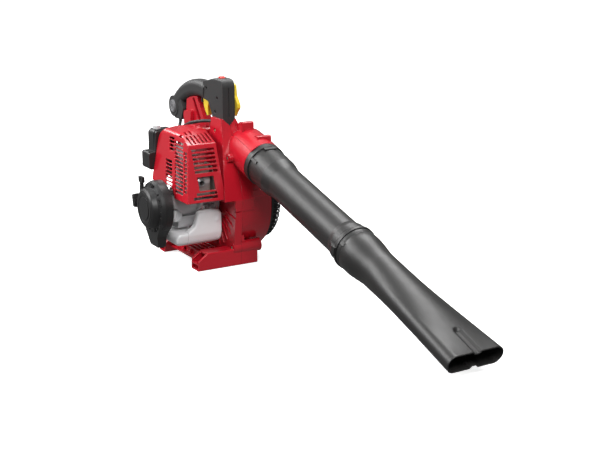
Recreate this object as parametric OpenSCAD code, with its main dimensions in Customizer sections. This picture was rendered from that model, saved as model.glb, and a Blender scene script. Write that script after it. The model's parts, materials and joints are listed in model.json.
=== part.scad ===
// Handheld leaf blower: two-half fan housing with feet, small overhead-valve
// engine under a slatted cover, arched grip, and a two-piece blower tube.
// Millimetres. X runs forward along the tube, Z is up, and the origin lies on
// the sole of the front foot, under the middle of the tube.

/* [Stance] */
// Height of the crank and fan axis over the floor
fan_z = 121; // [120:0.5:122]
// Length of each foot from its open end to the joint side
foot_length = 132; // [128:1:136]
// Width of a foot, front to back
foot_w = 34; // [32:1:36]

/* [Fan housing] */
// Wall thickness of the moulded housings
wall = 3; // [2.6:0.2:3.4]
// Radius of the first quarter of the spiral
spiral_r = 101.5; // [100:0.5:102]
// Step between the four centres of the spiral
spiral_step = 15.3; // [14.8:0.1:15.8]
// Depth of the air chamber on the intake side of the joint
chamber_right = 64; // [62:1:66]
// Depth of the air chamber on the engine side of the joint
chamber_left = 12; // [11:0.5:13]
// Radius of the air inlet
inlet_r = 62; // [58:1:66]

/* [Blower tube] */
// Slope of the tube below the horizontal
tube_pitch = 15.6; // [15:0.1:16.2]
// Height of the tube axis where the collar meets the housing
tube_z = 208; // [207:0.5:209]
// Outside diameter of the straight tube
tube_d = 70; // [68:0.5:71]
// Outside diameter of the collar that fits the duct
collar_d = 79.6; // [79:0.2:80]
// Distance from the duct to the end of the nozzle
tube_reach = 668; // [650:1:680]
// Width of the flattened mouth
mouth_w = 104; // [98:1:106]
// Height of the flattened mouth
mouth_h = 28; // [26:1:30]
// Radial clearance of the twist joints
twist_gap = 0.05; // [0.03:0.01:0.08]

/* [Handle] */
// Height of the top of the handle
handle_top = 370; // [368:1:372]
// Width of the handle, sideways
handle_w = 27; // [26:0.5:28]
// Radius of the arch of the grip, along its middle
arch_r = 165; // [163:1:167]

/* [Engine] */
// Wall thickness of the engine cover
cover_wall = 2.4; // [2.2:0.1:2.8]
// Rows of long slots in the front of the cover
front_slots = 6; // [5:1:6]
// Outside radius of the starter drum
drum_r = 53; // [52:0.5:54]
// Number of impeller blades
blades = 12; // [9:1:14]
// Number of intake guard ribs
guard_ribs = 48; // [40:2:54]

/* [Hidden] */
$fn = 64;
round_fn = 96;
seam_y = -31;
fan_x = -68;

// Spiral: four quarter turns about the corners of a small square
q1 = [fan_x - spiral_step / 2, fan_z - spiral_step / 2];
q2 = q1 + [0, spiral_step];
q3 = q2 + [spiral_step, 0];
q4 = q3 - [0, spiral_step];
spiral_reach = 200;
right_face = seam_y + chamber_right + wall;
left_face = seam_y - chamber_left - wall;
engine_inset = 8;
intake_inset = 3;
flange_t = 3;

// Sloping front panel and the cover beside it share one plane
panel_x = 27;
panel_z = 140;
panel_slope = 0.36;
panel_top_z = 291;
panel_low_z = 137;

// Tube frame: origin on the tube axis above the front foot's toe
tube_x = 73.5;
duct_end = -19;
duct_start = -85;
collar_r = collar_d / 2;
duct_bore_r = collar_r + twist_gap;
duct_r = duct_bore_r + wall;
spigot_start = -58;
tube_r = tube_d / 2;

// Column and handle post
column_back = -72;
column_front = -27;
column_left = -48;
bay_low_y = -71.5;
bay_top_y = -48;
column_screw_y = -51;
column_right = -5;
arm_peak_y = -16.5;
arm_foot_z = 262;
ear_top_z = 282;
notch_tip_z = 277;
notch_rise = 1.05;
post_back = -76;
handle_left_y = seam_y - handle_w / 2;
handle_right_y = seam_y + handle_w / 2;
arch_x = -142.7;
arch_z = 173.8;
grip_h = 35;
grip_w = 31;

// Feet
front_foot_x = -17;
rear_foot_x = -172;
foot_left = 6 - foot_length;
foot_right = 6;
foot_top = 35;
foot_toe_z = 19.5;
base_z = 11;

arc_slack = 0.01;

function unit(v) = v / norm(v);

// Outline with every corner rounded to its own radius as a true arc
module rounded(points, radii) {
    n = len(points);
    difference() {
        union() {
            polygon(points);
            for (i = [0:n - 1])
                if (turn(points, i) < 0 && radii[i] > 0)
                    corner_piece(points, i, radii[i]);
        }
        for (i = [0:n - 1])
            if (turn(points, i) > 0 && radii[i] > 0)
                corner_piece(points, i, radii[i]);
    }
}

function before(points, i) = points[(i + len(points) - 1) % len(points)];
function after(points, i) = points[(i + 1) % len(points)];
function turn(points, i) = cross(points[i] - before(points, i), after(points, i) - points[i]);

// The sliver between a corner and the arc that rounds it. The circle is a hair
// larger than the radius, so that it crosses the edges instead of touching them.
module corner_piece(points, i, r) {
    v = points[i];
    u = unit(before(points, i) - v);
    w = unit(after(points, i) - v);
    half = acos(u * w) / 2;
    inward = unit(u + w);
    centre = v + inward * r / sin(half);
    difference() {
        polygon([v - inward, v + u * r / tan(half), centre, v + w * r / tan(half)]);
        translate(centre) circle(r = r + arc_slack, $fn = round_fn);
    }
}

// Rounded rectangle from its low and high corners
module rounded_box_2d(low, high, r) {
    rounded([low, [high[0], low[1]], high, [low[0], high[1]]], [r, r, r, r]);
}

// Side-view outline (x, z) given thickness from y0 to y1
module side(y0, y1) {
    translate([0, y1, 0]) rotate([90, 0, 0]) linear_extrude(y1 - y0) children();
}

// Front-view outline (y, z) given thickness from x0 to x1
module front(x0, x1) {
    translate([x0, 0, 0]) rotate([90, 0, 90]) linear_extrude(x1 - x0) children();
}

// Top-view outline (x, y) given thickness from z0 to z1
module top(z0, z1) {
    translate([0, 0, z0]) linear_extrude(z1 - z0) children();
}

// Block from its low corner to its high corner
module block(low, high) {
    translate(low) cube(high - low);
}

// Cylinders along each axis, placed by the other two coordinates
module ycyl(x, z, r, y0, y1) {
    translate([x, y1, z]) rotate([90, 0, 0]) cylinder(r = r, h = y1 - y0);
}

module xcyl(y, z, r, x0, x1) {
    translate([x0, y, z]) rotate([0, 90, 0]) cylinder(r = r, h = x1 - x0);
}

module zcyl(x, y, r, z0, z1) {
    translate([x, y, z0]) cylinder(r = r, h = z1 - z0);
}

// Children drawn along +Z run down the tube instead
module along_tube(l = 0) {
    translate([tube_x, 0, tube_z]) rotate([0, 90 + tube_pitch, 0]) translate([0, 0, l]) children();
}

// Everything on the engine side or the intake side of the housing joint
module engine_side() {
    block([-400, -400, -50], [400, seam_y, 500]);
}

module intake_side() {
    block([-400, seam_y, -50], [400, 400, 500]);
}

// One quarter of the spiral, kept on its own side of the centre
module quarter(centre, r, dx, dz) {
    intersection() {
        translate(centre) circle(r = r, $fn = round_fn);
        translate(centre + [dx < 0 ? -spiral_reach : 0, dz < 0 ? -spiral_reach : 0])
            square(spiral_reach);
    }
}

// Outline of the air chamber, drawn in by an inset
module spiral(inset) {
    quarter(q1, spiral_r - inset, 1, -1);
    quarter(q2, spiral_r + spiral_step - inset, -1, -1);
    quarter(q3, spiral_r + 2 * spiral_step - inset, -1, 1);
    intersection() {
        quarter(q4, spiral_r + 3 * spiral_step - inset, 1, 1);
        polygon([
            q1 - [1, 1],
            [q1[0] + spiral_r - inset, q1[1] - 1],
            [q1[0] + spiral_r - inset, panel_low_z],
            [panel_x - inset, panel_low_z],
            [panel_x - inset, panel_z],
            [panel_front(panel_top_z) - inset, panel_top_z],
            [q1[0] - 1, panel_top_z]
        ]);
    }
    translate(q1 - [0.5, 0.5]) square(spiral_step + 1);
}

// Where the sloping front plane stands at a height
function panel_front(z) = panel_x - panel_slope * (z - panel_z);

// Round outlet duct with a domed back end
module duct(r) {
    along_tube(duct_start) cylinder(r = r, h = duct_end - duct_start, $fn = round_fn);
    along_tube(duct_start) sphere(r = r, $fn = round_fn);
}

// Column that holds the handle post, with the sloping panel as its front
module column() {
    intersection() {
        side(column_left, column_right)
            rounded([
                [column_back, q4[1]],
                [panel_front(panel_low_z) - wall, q4[1]],
                [panel_front(panel_low_z), panel_low_z],
                [panel_front(panel_top_z), panel_top_z],
                [column_back, panel_top_z]
            ], [0, 0, 2, 2, 4]);
        front(column_back - 1, 60)
            polygon([
                [column_left - 1, 0], [column_left - 1, panel_top_z + 1], [arm_peak_y, panel_top_z + 1],
                [arm_peak_y, panel_top_z], [column_right, arm_foot_z], [column_right, 0]
            ]);
    }
}

// Upright ear in front of the narrow arm of the seat
module arm_ear() {
    front(-20, -15.5)
        rounded([[-20, 250], [-20, ear_top_z], [-8, ear_top_z], [-8, 250]], [0, 2, 8, 0]);
}

// V seat for the post and the pocket for its tongue
module post_seat() {
    front(post_back - 1, column_front + 12)
        polygon([
            [seam_y, notch_tip_z],
            [seam_y + 30, notch_tip_z + 30 * notch_rise],
            [seam_y - 30, notch_tip_z + 30 * notch_rise]
        ]);
    tongue(0.2);
}

// Tongue of the post, grown by a clearance
module tongue(gap) {
    block([-62 - gap, seam_y - 7 - gap, 252 - gap], [-40 + gap, seam_y + 7 + gap, 283]);
}

// Side view of a foot with its toe cut back; the channel is open at the toe
module foot_outline(inset) {
    polygon([
        [foot_left - inset, inset],
        [foot_right - inset, inset],
        [foot_right - inset, foot_top - inset],
        [foot_left + 22, foot_top - inset],
        [foot_left + 1 - inset, foot_toe_z - inset]
    ]);
}

module foot(x0, w) {
    difference() {
        intersection() {
            front(x0, x0 + w) foot_outline(0);
            side(foot_left - 1, foot_right + 1)
                rounded_box_2d([x0, 0], [x0 + w, foot_top], 3);
        }
        difference() {
            front(x0 + wall, x0 + w - wall) foot_outline(wall);
            block([x0, foot_left - 5, foot_toe_z - 8], [x0 + w, foot_left + 9, foot_toe_z - 5]);
        }
        translate([0, -4, 4]) front(x0 + 6, x0 + w - 6)
            polygon([
                [foot_left, foot_toe_z - 9],
                [foot_left + 18, foot_toe_z - 9],
                [foot_left + 26, foot_top],
                [foot_left, foot_top]
            ]);
    }
}

// Plate between the feet with its stiffening ribs
module base_plate() {
    block([rear_foot_x + 10, foot_left + 14, base_z], [front_foot_x + 4, seam_y, base_z + wall]);
    for (y = [seam_y - 14:-10.5:foot_left + 20])
        front(rear_foot_x + 20, front_foot_x + 2) translate([y, base_z]) square([2.4, 12]);
    for (x = [-135, -105, -75, -45])
        block([x, foot_left + 24, base_z], [x + 2.4, left_face, base_z + 9]);
}

// Curved web that carries the spiral down into the front foot
module foot_flare() {
    side(seam_y - 16, seam_y)
        difference() {
            rounded([[-70, base_z], [17, base_z], [17, 34], [26, 112], [14, 112], [-30, 40], [-70, 18]],
                [0, 0, 6, 0, 0, 40, 0]);
            translate(q1) circle(r = spiral_r - engine_inset - wall, $fn = round_fn);
        }
}

// Plate bracket that carries the back of the grip
module rear_bracket() {
    intersection() {
        union() {
            side(seam_y - 9, seam_y + 9)
                difference() {
                    rounded([[-128, 238], [-112, 262], [-160, 330], [-200, 330], [-206, 286], [-196, 190],
                        [-176, 180]], [0, 6, 3, 3, 8, 0, 0]);
                    rounded([[-146, 268], [-136, 276], [-166, 316], [-176, 316]], [3, 3, 3, 3]);
                    rounded([[-180, 214], [-160, 240], [-190, 274], [-194, 220]], [4, 4, 4, 4]);
                }
            side(seam_y - 16, seam_y + 16)
                rounded([[-192, 200], [-176, 212], [-170, 290], [-206, 284], [-199, 200]], [2, 6, 4, 8, 2]);
        }
        ycyl(arch_x, arch_z, arch_r - grip_h / 2, -120, 60);
    }
}

housing_screw_r = 2.2;
// Places of the joint screws: x, z, tower radius, head side y
joint_screws = [
    [-174, 66, 7, -48],
    [-186, 168, 7, -48],
    [-108, 255, 7, -48],
    [8, 36, 12.5, -48]
];

// Space inside the joined housings
module air_space(y0, y1, inset) {
    side(y0, y1) spiral(inset);
}

module fan_housing_engine_side() {
    color("crimson")
    difference() {
        intersection() {
            union() {
                air_space(left_face, seam_y, engine_inset);
                air_space(seam_y - flange_t, seam_y, 0);
                duct(duct_r);
                front_bay();
                column();
                foot(front_foot_x, foot_w);
                foot(rear_foot_x, foot_w - 6);
                base_plate();
                foot_flare();
                rear_bracket();
                for (s = joint_screws) ycyl(s[0], s[1], s[2], s[3], seam_y);
                ycyl(clamp_x, clamp_z, 8.5, -52, seam_y);
                ycyl(fan_x, fan_z, engine_mount_r - 4, left_face - 3, left_face);
            }
            engine_side();
        }
        air_space(left_face + wall, seam_y + 1, engine_inset + wall);
        duct(duct_bore_r);
        bay_space();
        post_seat();
        ycyl(fan_x, fan_z, bearing_r, left_face - 5, seam_y);
        for (s = joint_screws) {
            ycyl(s[0], s[1], housing_screw_r, s[3] - 1, seam_y + 1);
            ycyl(s[0], s[1], screw_head_r, s[3] - 1, s[3] + screw_head_h);
        }
        ycyl(clamp_x, clamp_z, screw_head_r, -53, -49);
        ycyl(clamp_x, clamp_z, housing_screw_r, -50, -43);
        ycyl(screw_x, screw_z, screw_head_r, column_screw_y - 2, column_screw_y + screw_head_h);
        ycyl(screw_x, screw_z, housing_screw_r, column_screw_y, seam_y);
    }
}

screw_head_r = 4;
screw_head_h = 3;
engine_mount_r = 24;
screw_x = -51;
screw_z = 266;
clamp_x = 3;
clamp_z = 219;
bearing_r = 13;

// Panel that closes the front beside the engine, open at the back
module front_bay() {
    intersection() {
        side(-90, seam_y)
            rounded([
                [column_back, q4[1]],
                [panel_front(panel_low_z) - 8, q4[1]],
                [panel_front(panel_low_z), panel_low_z],
                [panel_front(panel_top_z), panel_top_z],
                [column_back, panel_top_z]
            ], [0, 0, 2, 2, 4]);
        front(-100, 40) polygon(bay_edge(0, panel_low_z));
    }
}

// The left side leans outward toward the bottom
function bay_edge(t, low) = [
    [bay_low_y + t, low], [bay_low_y + t, panel_low_z], [bay_top_y + t, panel_top_z],
    [seam_y, panel_top_z], [seam_y, low]
];

// Hollow of the bay, behind its front plate and beside the air chamber
module bay_space() {
    intersection() {
        side(-90, left_face)
            polygon([
                [column_back - 1, 100],
                [panel_front(100) - 3 * wall, 100],
                [panel_front(panel_top_z - wall) - wall, panel_top_z - wall],
                [column_back + wall, panel_top_z - wall],
                [column_back + wall, 262],
                [column_back - 1, 262]
            ]);
        front(-100, 40) polygon(bay_edge(wall, 100));
        difference() {
            block([-100, -90, 100], [60, left_face, 300]);
            duct(duct_r);
            tongue(wall);
            ycyl(screw_x, screw_z, screw_head_r + 2, -60, left_face);
        }
    }
}

module fan_housing_intake_side() {
    color("crimson")
    difference() {
        intersection() {
            union() {
                air_space(seam_y, right_face, intake_inset);
                duct(duct_r);
                column();
                foot(front_foot_x, foot_w);
                foot(rear_foot_x, foot_w - 6);
                rear_bracket();
                panel_ledge();
                side(seam_y, seam_y + 10)
                    polygon([[-60, 8], [17, 8], [17, 34], [10, 60], [-30, 40]]);
                side(seam_y, seam_y + 10)
                    polygon([[rear_foot_x + 2, 24], [-146, 24], [-138, 46], [-168, 74]]);
                for (s = joint_screws) ycyl(s[0], s[1], s[2], seam_y, seam_y + tower_depth);
                foot_tower();
                arm_ear();
                lug(-5, 280, 6.5, -17, 9);
                lug(40, 258, 7, -7, 23);
                ycyl(fan_x, fan_z, inlet_r + 26, right_face, right_face + 2);
            }
            intake_side();
        }
        air_space(seam_y - 1, right_face - wall, intake_inset + wall);
        duct(duct_bore_r);
        post_seat();
        ycyl(fan_x, fan_z, inlet_r, right_face - wall - 1, right_face + 3);
        for (s = joint_screws) ycyl(s[0], s[1], housing_screw_r, seam_y - 1, seam_y + tower_depth - 3);
    }
}

tower_depth = 16;

// Ledge that closes the sloping panel over the front of the spiral
module panel_ledge() {
    side(seam_y, 14)
        rounded([
            [8, panel_low_z], [panel_x, panel_low_z], [panel_front(152), 152], [8, 152]
        ], [0, 1.5, 0, 0]);
}

// Screw tower over the front foot with its end flange
module foot_tower() {
    ycyl(8, 36, 12.5, seam_y, 14);
    ycyl(8, 36, 13.4, 11, 14);
}

// Lug on top of the duct, blended down to it by a web
module lug(x, z, r, y0, y1) {
    side(y0, y1)
        rounded([[x - r, z - 22], [x + r, z - 22], [x + r, z + r], [x - r, z + r]], [0, 0, 3, 3]);
    side(y0 - 1.5, y0 + 2)
        polygon([[x - r - 6, z - 22], [x + r + 6, z - 22], [x + r, z + 1], [x - r, z + 1]]);
}

// Children drawn along +Z run along the fan axis, to the intake side or to the engine side
module toward_right(y) {
    translate([fan_x, y, fan_z]) rotate([-90, 0, 0]) children();
}

module toward_left(y) {
    translate([fan_x, y, fan_z]) rotate([90, 0, 0]) children();
}

guard_r = 91;
guard_depth = 24;

module intake_guard() {
    color("dimgray")
    toward_right(right_face + 2) {
        rotate_extrude($fn = round_fn)
            polygon([
                [guard_r - 6, 0], [guard_r, 0], [guard_r, 3], [guard_r - 2.4, 3],
                [guard_r - 2.4, 14], [guard_r - 4.4, 14], [guard_r - 4.4, 3], [guard_r - 6, 3]
            ]);
        rotate_extrude($fn = round_fn)
            polygon([
                [0, guard_depth - 4], [20, guard_depth - 4],
                [20, guard_depth + 0.6], [0, guard_depth + 0.6]
            ]);
        for (r = [42, 64])
            rotate_extrude($fn = round_fn)
                translate([r, guard_depth - 3]) square([2.5, 3]);
        for (i = [0:guard_ribs - 1])
            rotate([90, 0, i * 360 / guard_ribs])
                translate([0, 0, -1.1]) linear_extrude(2.2)
                    polygon([
                        [guard_r - 3, 0], [guard_r, 0], [guard_r, guard_depth - 7],
                        [guard_r - 7, guard_depth], [18, guard_depth],
                        [18, guard_depth - 3], [guard_r - 8, guard_depth - 3],
                        [guard_r - 3, guard_depth - 8]
                    ]);
    }
}

shaft_r = 6;
fan_back = seam_y - 5;
blade_depth = 50;
fan_r = 80;

module impeller() {
    color("dimgray")
    difference() {
        toward_right(fan_back) {
            cylinder(r = fan_r, h = 3, $fn = round_fn);
            cylinder(r1 = 34, r2 = 16, h = 34);
            for (i = [0:blades - 1])
                rotate([0, 0, i * 360 / blades]) blade();
            difference() {
                translate([0, 0, blade_depth]) cylinder(r = fan_r, h = 2);
                translate([0, 0, blade_depth - 1]) cylinder(r = 58, h = 4);
            }
        }
        ycyl(fan_x, fan_z, shaft_r + 0.03, fan_back - 1, 20);
    }
}

// One blade: an arc curved back from the direction of turning
module blade() {
    linear_extrude(blade_depth + 1)
        intersection() {
            translate([30, -46]) difference() {
                circle(r = 62, $fn = round_fn);
                circle(r = 60, $fn = round_fn);
            }
            difference() {
                circle(r = fan_r - 0.5, $fn = round_fn);
                circle(r = 30);
            }
            translate([0, -20]) square([fan_r, fan_r]);
        }
}

module impeller_nut() {
    color("silver")
    difference() {
        toward_right(fan_back + 34) union() {
            cylinder(r = 10, h = 1.6);
            translate([0, 0, 1.6]) cylinder(r = 8.2, h = 7, $fn = 6);
        }
        ycyl(fan_x, fan_z, shaft_r + 0.03, fan_back + 30, fan_back + 48);
    }
}

crank_front = -149;

module crankshaft() {
    color("silver") {
        ycyl(fan_x, fan_z, shaft_r, crank_front - 12, fan_back + 44);
        ycyl(fan_x, fan_z, 10, -94, -66);
    }
}

module shaft_seal() {
    color("saddlebrown")
    difference() {
        ycyl(fan_x, fan_z, bearing_r, left_face - 1, left_face + wall + 1);
        ycyl(fan_x, fan_z, shaft_r + 0.4, left_face - 2, left_face + wall + 2);
    }
}

flywheel_r = 32;

module flywheel() {
    color("gray")
    difference() {
        union() {
            ycyl(fan_x, fan_z, flywheel_r, -62, -52);
            ycyl(fan_x, fan_z, 14, -66, -50);
        }
        ycyl(fan_x, fan_z, shaft_r + 0.03, -70, -48);
        for (a = [0:60:300])
            ycyl(fan_x + 21 * cos(a), fan_z + 21 * sin(a), 4.5, -64, -48);
        toward_left(-51) for (a = [0, 180])
            rotate([0, 0, a]) translate([flywheel_r - 2, -8, 2]) cube([4, 16, 6]);
    }
}

module ignition_coil() {
    color("black") {
        side(-60, -54)
            difference() {
                rounded([[-90, 150], [-46, 150], [-46, 178], [-90, 178]], [2, 2, 3, 3]);
                translate([fan_x, fan_z]) circle(r = flywheel_r + 0.6, $fn = round_fn);
                rounded_box_2d([-76, 140], [-60, 160], 1);
            }
        side(-60, -48) rounded_box_2d([-84, 161], [-52, 186], 4);
        for (x = [-86, -50]) ycyl(x, 170, 3.4, -54, left_face);
    }
}

case_r = 27;
case_front = -148;
case_back = -100;
mount_legs = [[-106, 151], [-29, 131], [-106, 91], [-47, 86]];
recoil_legs = [60, 150, 255];

module crankcase() {
    color("silver")
    difference() {
        union() {
            ycyl(fan_x, fan_z, case_r, case_front, case_back);
            side(case_front + 9, case_back)
                rounded([[-94, 76], [-46, 76], [-44, 100], [-92, 100]], [6, 6, 0, 0]);
            block([-90, case_front + 12, 130], [-46, case_back, cylinder_low_z]);
            side(case_back, case_back + 6)
                rounded([
                    [-112, 85], [-53, 80], [-41, 80], [-41, 110],
                    [-23, 124], [-23, 137], [-44, 150], [-112, 157]
                ],
                    [6, 4, 3, 4, 6, 5, 6, 6]);
            for (p = mount_legs) ycyl(p[0], p[1], 5, case_back, left_face);
            for (a = recoil_legs)
                ycyl(fan_x + 33 * cos(a), fan_z + 33 * sin(a), 8.5, -140, -128);
        }
        ycyl(fan_x, fan_z, shaft_r + 0.05, case_front - 1, case_back + 7);
        in_oil_frame() translate([0, 0, -14]) cylinder(r = oil_neck_r, h = 30);
        in_oil_frame() translate([0, 0, -oil_flange_t]) cylinder(r = oil_cap_r + 1, h = 30);
        zcyl(fan_x, cylinder_y, cylinder_r + 0.3, cylinder_low_z, cylinder_low_z + 12);
        for (a = recoil_legs)
            ycyl(fan_x + 33 * cos(a), fan_z + 33 * sin(a), 2, -141, -130);
    }
}

cylinder_low_z = 152;
cylinder_y = -113;
cylinder_r = 17;

module cylinder_block() {
    color("silver") {
        zcyl(fan_x, cylinder_y, cylinder_r, cylinder_low_z, 226);
        for (z = [160:7:223])
            top(z, z + 2.6) translate([fan_x, cylinder_y])
                rounded_box_2d([-31, -15], [29, 22], 8);
        top(226, 240) translate([fan_x, cylinder_y]) rounded_box_2d([-27, -12], [25, 17], 6);
        block([fan_x + 20, cylinder_y - 10, 176], [muffler_back - 2, cylinder_y + 10, 196]);
        block([port_x, cylinder_y - 10, 184], [fan_x - 20, cylinder_y + 10, 204]);
    }
}

plug_z = 240;

module spark_plug() {
    color("white") {
        zcyl(fan_x + 4, cylinder_y, 7, plug_z, plug_z + 5);
        zcyl(fan_x + 4, cylinder_y, 4, plug_z, plug_z + 12);
    }
}

module spark_plug_cap() {
    color("black")
    difference() {
        zcyl(fan_x + 4, cylinder_y, 6.5, plug_z + 5, plug_z + 18);
        zcyl(fan_x + 4, cylinder_y, 4, plug_z + 4, plug_z + 12);
    }
}

muffler_back = -33;

module exhaust_gasket() {
    color("dimgray")
    block([muffler_back - 2, cylinder_y - 14, 170], [muffler_back, cylinder_y + 14, 202]);
}

module muffler() {
    color("silver")
    difference() {
        intersection() {
            side(-133, -88) rounded([[muffler_back, 150], [3, 150], [3, 174], [-9, 207], [muffler_back, 207]],
                [2, 5, 5, 5, 2]);
            top(149, 208) rounded_box_2d([muffler_back, -133], [3, -88], 7);
        }
        xcyl(outlet_y, outlet_z, outlet_r - 3, -20, 10);
    }
}

outlet_y = -112;
outlet_z = 177;
outlet_r = 8.5;

module muffler_outlet() {
    color("silver")
    difference() {
        union() {
            xcyl(outlet_y, outlet_z, outlet_r, 3, 5);
            xcyl(outlet_y, outlet_z, outlet_r - 2, 5, 10);
        }
        xcyl(outlet_y, outlet_z, outlet_r - 4, 2, 11);
        block([-5, outlet_y - 12, 150], [3, outlet_y + 12, 200]);
    }
}

module heat_shield() {
    color("silver")
    side(-84, -82.8) rounded([[-36, 146], [8, 146], [8, 178], [-4, 210], [-36, 210]], [4, 4, 4, 4, 4]);
}

port_x = -101;

module carb_insulator() {
    color("black")
    difference() {
        side(-127, -99) rounded_box_2d([port_x - 6, 180], [port_x, 208], 2);
        xcyl(cylinder_y, 194, 7, port_x - 8, port_x + 2);
    }
}

carb_back = port_x - 6;
carb_end = -150;

module carburettor() {
    color("silver")
    difference() {
        union() {
            side(-128, -98) rounded_box_2d([-138, 180], [carb_back, 208], 4);
            xcyl(cylinder_y, 194, 13, carb_end, -138);
            zcyl(primer_x, cylinder_y, 12, 174, 180);
        }
        xcyl(cylinder_y, 194, 7, carb_end - 1, carb_back + 1);
        zcyl(primer_x, cylinder_y, 8.2, 170, 178);
    }
}

primer_x = -122;

module primer_bulb() {
    color("white")
    intersection() {
        union() {
            translate([primer_x, cylinder_y, 171]) sphere(r = 8);
            zcyl(primer_x, cylinder_y, 8, 171, 175.5);
        }
        block([primer_x - 20, cylinder_y - 20, 150], [primer_x + 20, cylinder_y + 20, 175.5]);
    }
}

filter_x = -158;

module air_cleaner_base() {
    color("dimgray")
    difference() {
        front(filter_x, carb_end)
            rounded([[-152, 178], [-96, 178], [-90, 204], [-90, 256], [-136, 256], [-138, 214], [-152, 212]],
                [5, 5, 3, 8, 6, 0, 4]);
        xcyl(cylinder_y, 194, 7, filter_x - 1, carb_end + 1);
    }
}

module air_filter() {
    color("dimgray")
    front(filter_x - 22, filter_x) rounded_box_2d([-130, 210], [-98, 250], 6);
}

cleaner_left_x = -184;

module air_cleaner_cover() {
    color("black")
    difference() {
        union() {
            front(cleaner_left_x, filter_x)
                rounded([[-138, 206], [-90, 206], [-90, 258], [-138, 258]], [4, 6, 9, 9]);
            front(cleaner_left_x - 3, filter_x)
                rounded([[-152, 178], [-96, 178], [-96, 214], [-152, 214]], [5, 5, 2, 5]);
        }
        front(cleaner_left_x + 3, filter_x + 1)
            rounded([[-135, 209], [-93, 209], [-93, 255], [-135, 255]], [3, 4, 6, 6]);
        front(cleaner_left_x, filter_x + 1)
            rounded([[-149, 181], [-99, 181], [-99, 211], [-149, 211]], [3, 3, 1, 3]);
        for (y = [-142, -132, -122, -112, -102])
            block([cleaner_left_x + 2, y, 170], [filter_x - 10, y + 5, 182]);
        zcyl(knob_x, knob_y, 3.05, 250, 262);
    }
}

knob_x = -172;
knob_y = -124;

module air_cleaner_knob() {
    color("lightgray") {
        zcyl(knob_x, knob_y, 3, 251, 258);
        difference() {
            zcyl(knob_x, knob_y, 8, 258, 264);
            for (a = [0:45:315])
                zcyl(knob_x + 9 * cos(a), knob_y + 9 * sin(a), 2.2, 257, 265);
        }
    }
}

choke_x = -173;
choke_z = 127;
choke_left = -164;
choke_right = -158.2;

module choke_lever() {
    color("black") {
        ycyl(choke_x, choke_z, 3, choke_right, choke_right + 6);
        difference() {
            side(choke_left, choke_right)
                rounded([
                    [choke_x - 6, choke_z - 6], [choke_x + 6, choke_z - 6], [choke_x + 4, 148],
                    [choke_x + 10, 151], [choke_x + 10, 161], [choke_x - 10, 161], [choke_x - 10, 151],
                    [choke_x - 4, 148]
                ], [5, 5, 2, 1, 2, 2, 1, 2]);
            ycyl(choke_x, 156, 2.4, choke_left - 1, choke_right + 1);
        }
    }
}

tank_low = 42;
tank_lobe_top = 70;
tank_top = 112;
tank_back_x = -115;
tank_front_x = -22;
tank_right_y = -53;
tank_left_y = -153;
tank_cap_y = -100;
tank_cap_z = 56;

// Sideways outline of the tank: low lobe, concave sweep, tall block
module tank_outline(inset) {
    rounded([
        [tank_left_y + inset, tank_low + inset],
        [tank_right_y - inset, tank_low + inset],
        [tank_right_y - inset, tank_top - inset],
        [-104 + inset, tank_top - inset],
        [-112 + inset, tank_lobe_top + 12],
        [-128 + inset, tank_lobe_top - inset],
        [tank_left_y + inset, tank_lobe_top - inset]
    ], [13 - inset, 12 - inset, 12 - inset, 9 - inset, 14, 12, 12 - inset]);
}

// The same from the front of the machine: low behind, tall at the front
module tank_side(inset) {
    rounded([
        [tank_back_x + inset, tank_low + inset],
        [tank_front_x - 6 - inset, tank_low + inset],
        [tank_front_x - inset, tank_low + 22],
        [tank_front_x - inset, tank_top - inset],
        [-39 + inset, tank_top - inset],
        [-39 + inset, tank_lobe_top - inset],
        [tank_back_x + inset, tank_lobe_top - inset]
    ], [12 - inset, 16 - inset, 12 - inset, 9 - inset, 6 - inset, 5, 10 - inset]);
}

module tank_form(inset) {
    intersection() {
        front(tank_back_x - 1, tank_front_x + 1) tank_outline(inset);
        side(tank_left_y - 1, tank_right_y + 1) tank_side(inset);
    }
}

module fuel_tank() {
    color("whitesmoke")
    difference() {
        union() {
            tank_form(0);
            xcyl(tank_cap_y, tank_cap_z, 11, tank_back_x - 6, tank_back_x + 6);
            xcyl(-64, 92, 4, tank_front_x - 1, tank_front_x + 3);
        }
        xcyl(tank_cap_y, tank_cap_z, 8, tank_back_x - 7, tank_back_x + 8);
        zcyl(-104, -84, 2.8, 60, 72);
    }
}

module fuel_cap() {
    color("black")
    difference() {
        xcyl(tank_cap_y, tank_cap_z, 14, tank_back_x - 14, tank_back_x - 1);
        xcyl(tank_cap_y, tank_cap_z, 11.05, tank_back_x - 6, tank_back_x);
        for (a = [0:30:330])
            xcyl(tank_cap_y + 15 * cos(a), tank_cap_z + 15 * sin(a), 2.2, tank_back_x - 15, tank_back_x);
    }
}

module tank_mounts() {
    color("black")
    for (x = [-98, -44]) ycyl(x, 58, 7, tank_right_y, left_face);
}

// Children drawn along +Z run out of the oil filler
module in_oil_frame() {
    translate([-51, -141, 101]) rotate([0, 65, -38]) children();
}

oil_neck_r = 8;
oil_cap_r = 11;
oil_flange_t = 3;

module oil_neck() {
    color("black")
    difference() {
        union() {
            in_oil_frame() translate([0, 0, -14]) cylinder(r = oil_neck_r, h = 14);
            in_oil_frame() translate([0, 0, -oil_flange_t]) cylinder(r = oil_neck_r + 2, h = oil_flange_t);
        }
        in_oil_frame() translate([0, 0, -15]) cylinder(r = 5, h = 17);
        ycyl(fan_x, fan_z, case_r - 6, case_front - 1, case_back);
    }
}

module oil_filler_cap() {
    color("gainsboro")
    in_oil_frame() {
        translate([0, 0, -8]) cylinder(r = 4.95, h = 8);
        cylinder(r = oil_cap_r, h = 3);
        difference() {
            translate([0, 0, 3]) cylinder(r = oil_cap_r, h = 6);
            translate([4, -12, 3]) cube([12, 24, 7]);
            translate([-5, -4, 7.5]) cube([6, 8, 3]);
        }
    }
}

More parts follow.
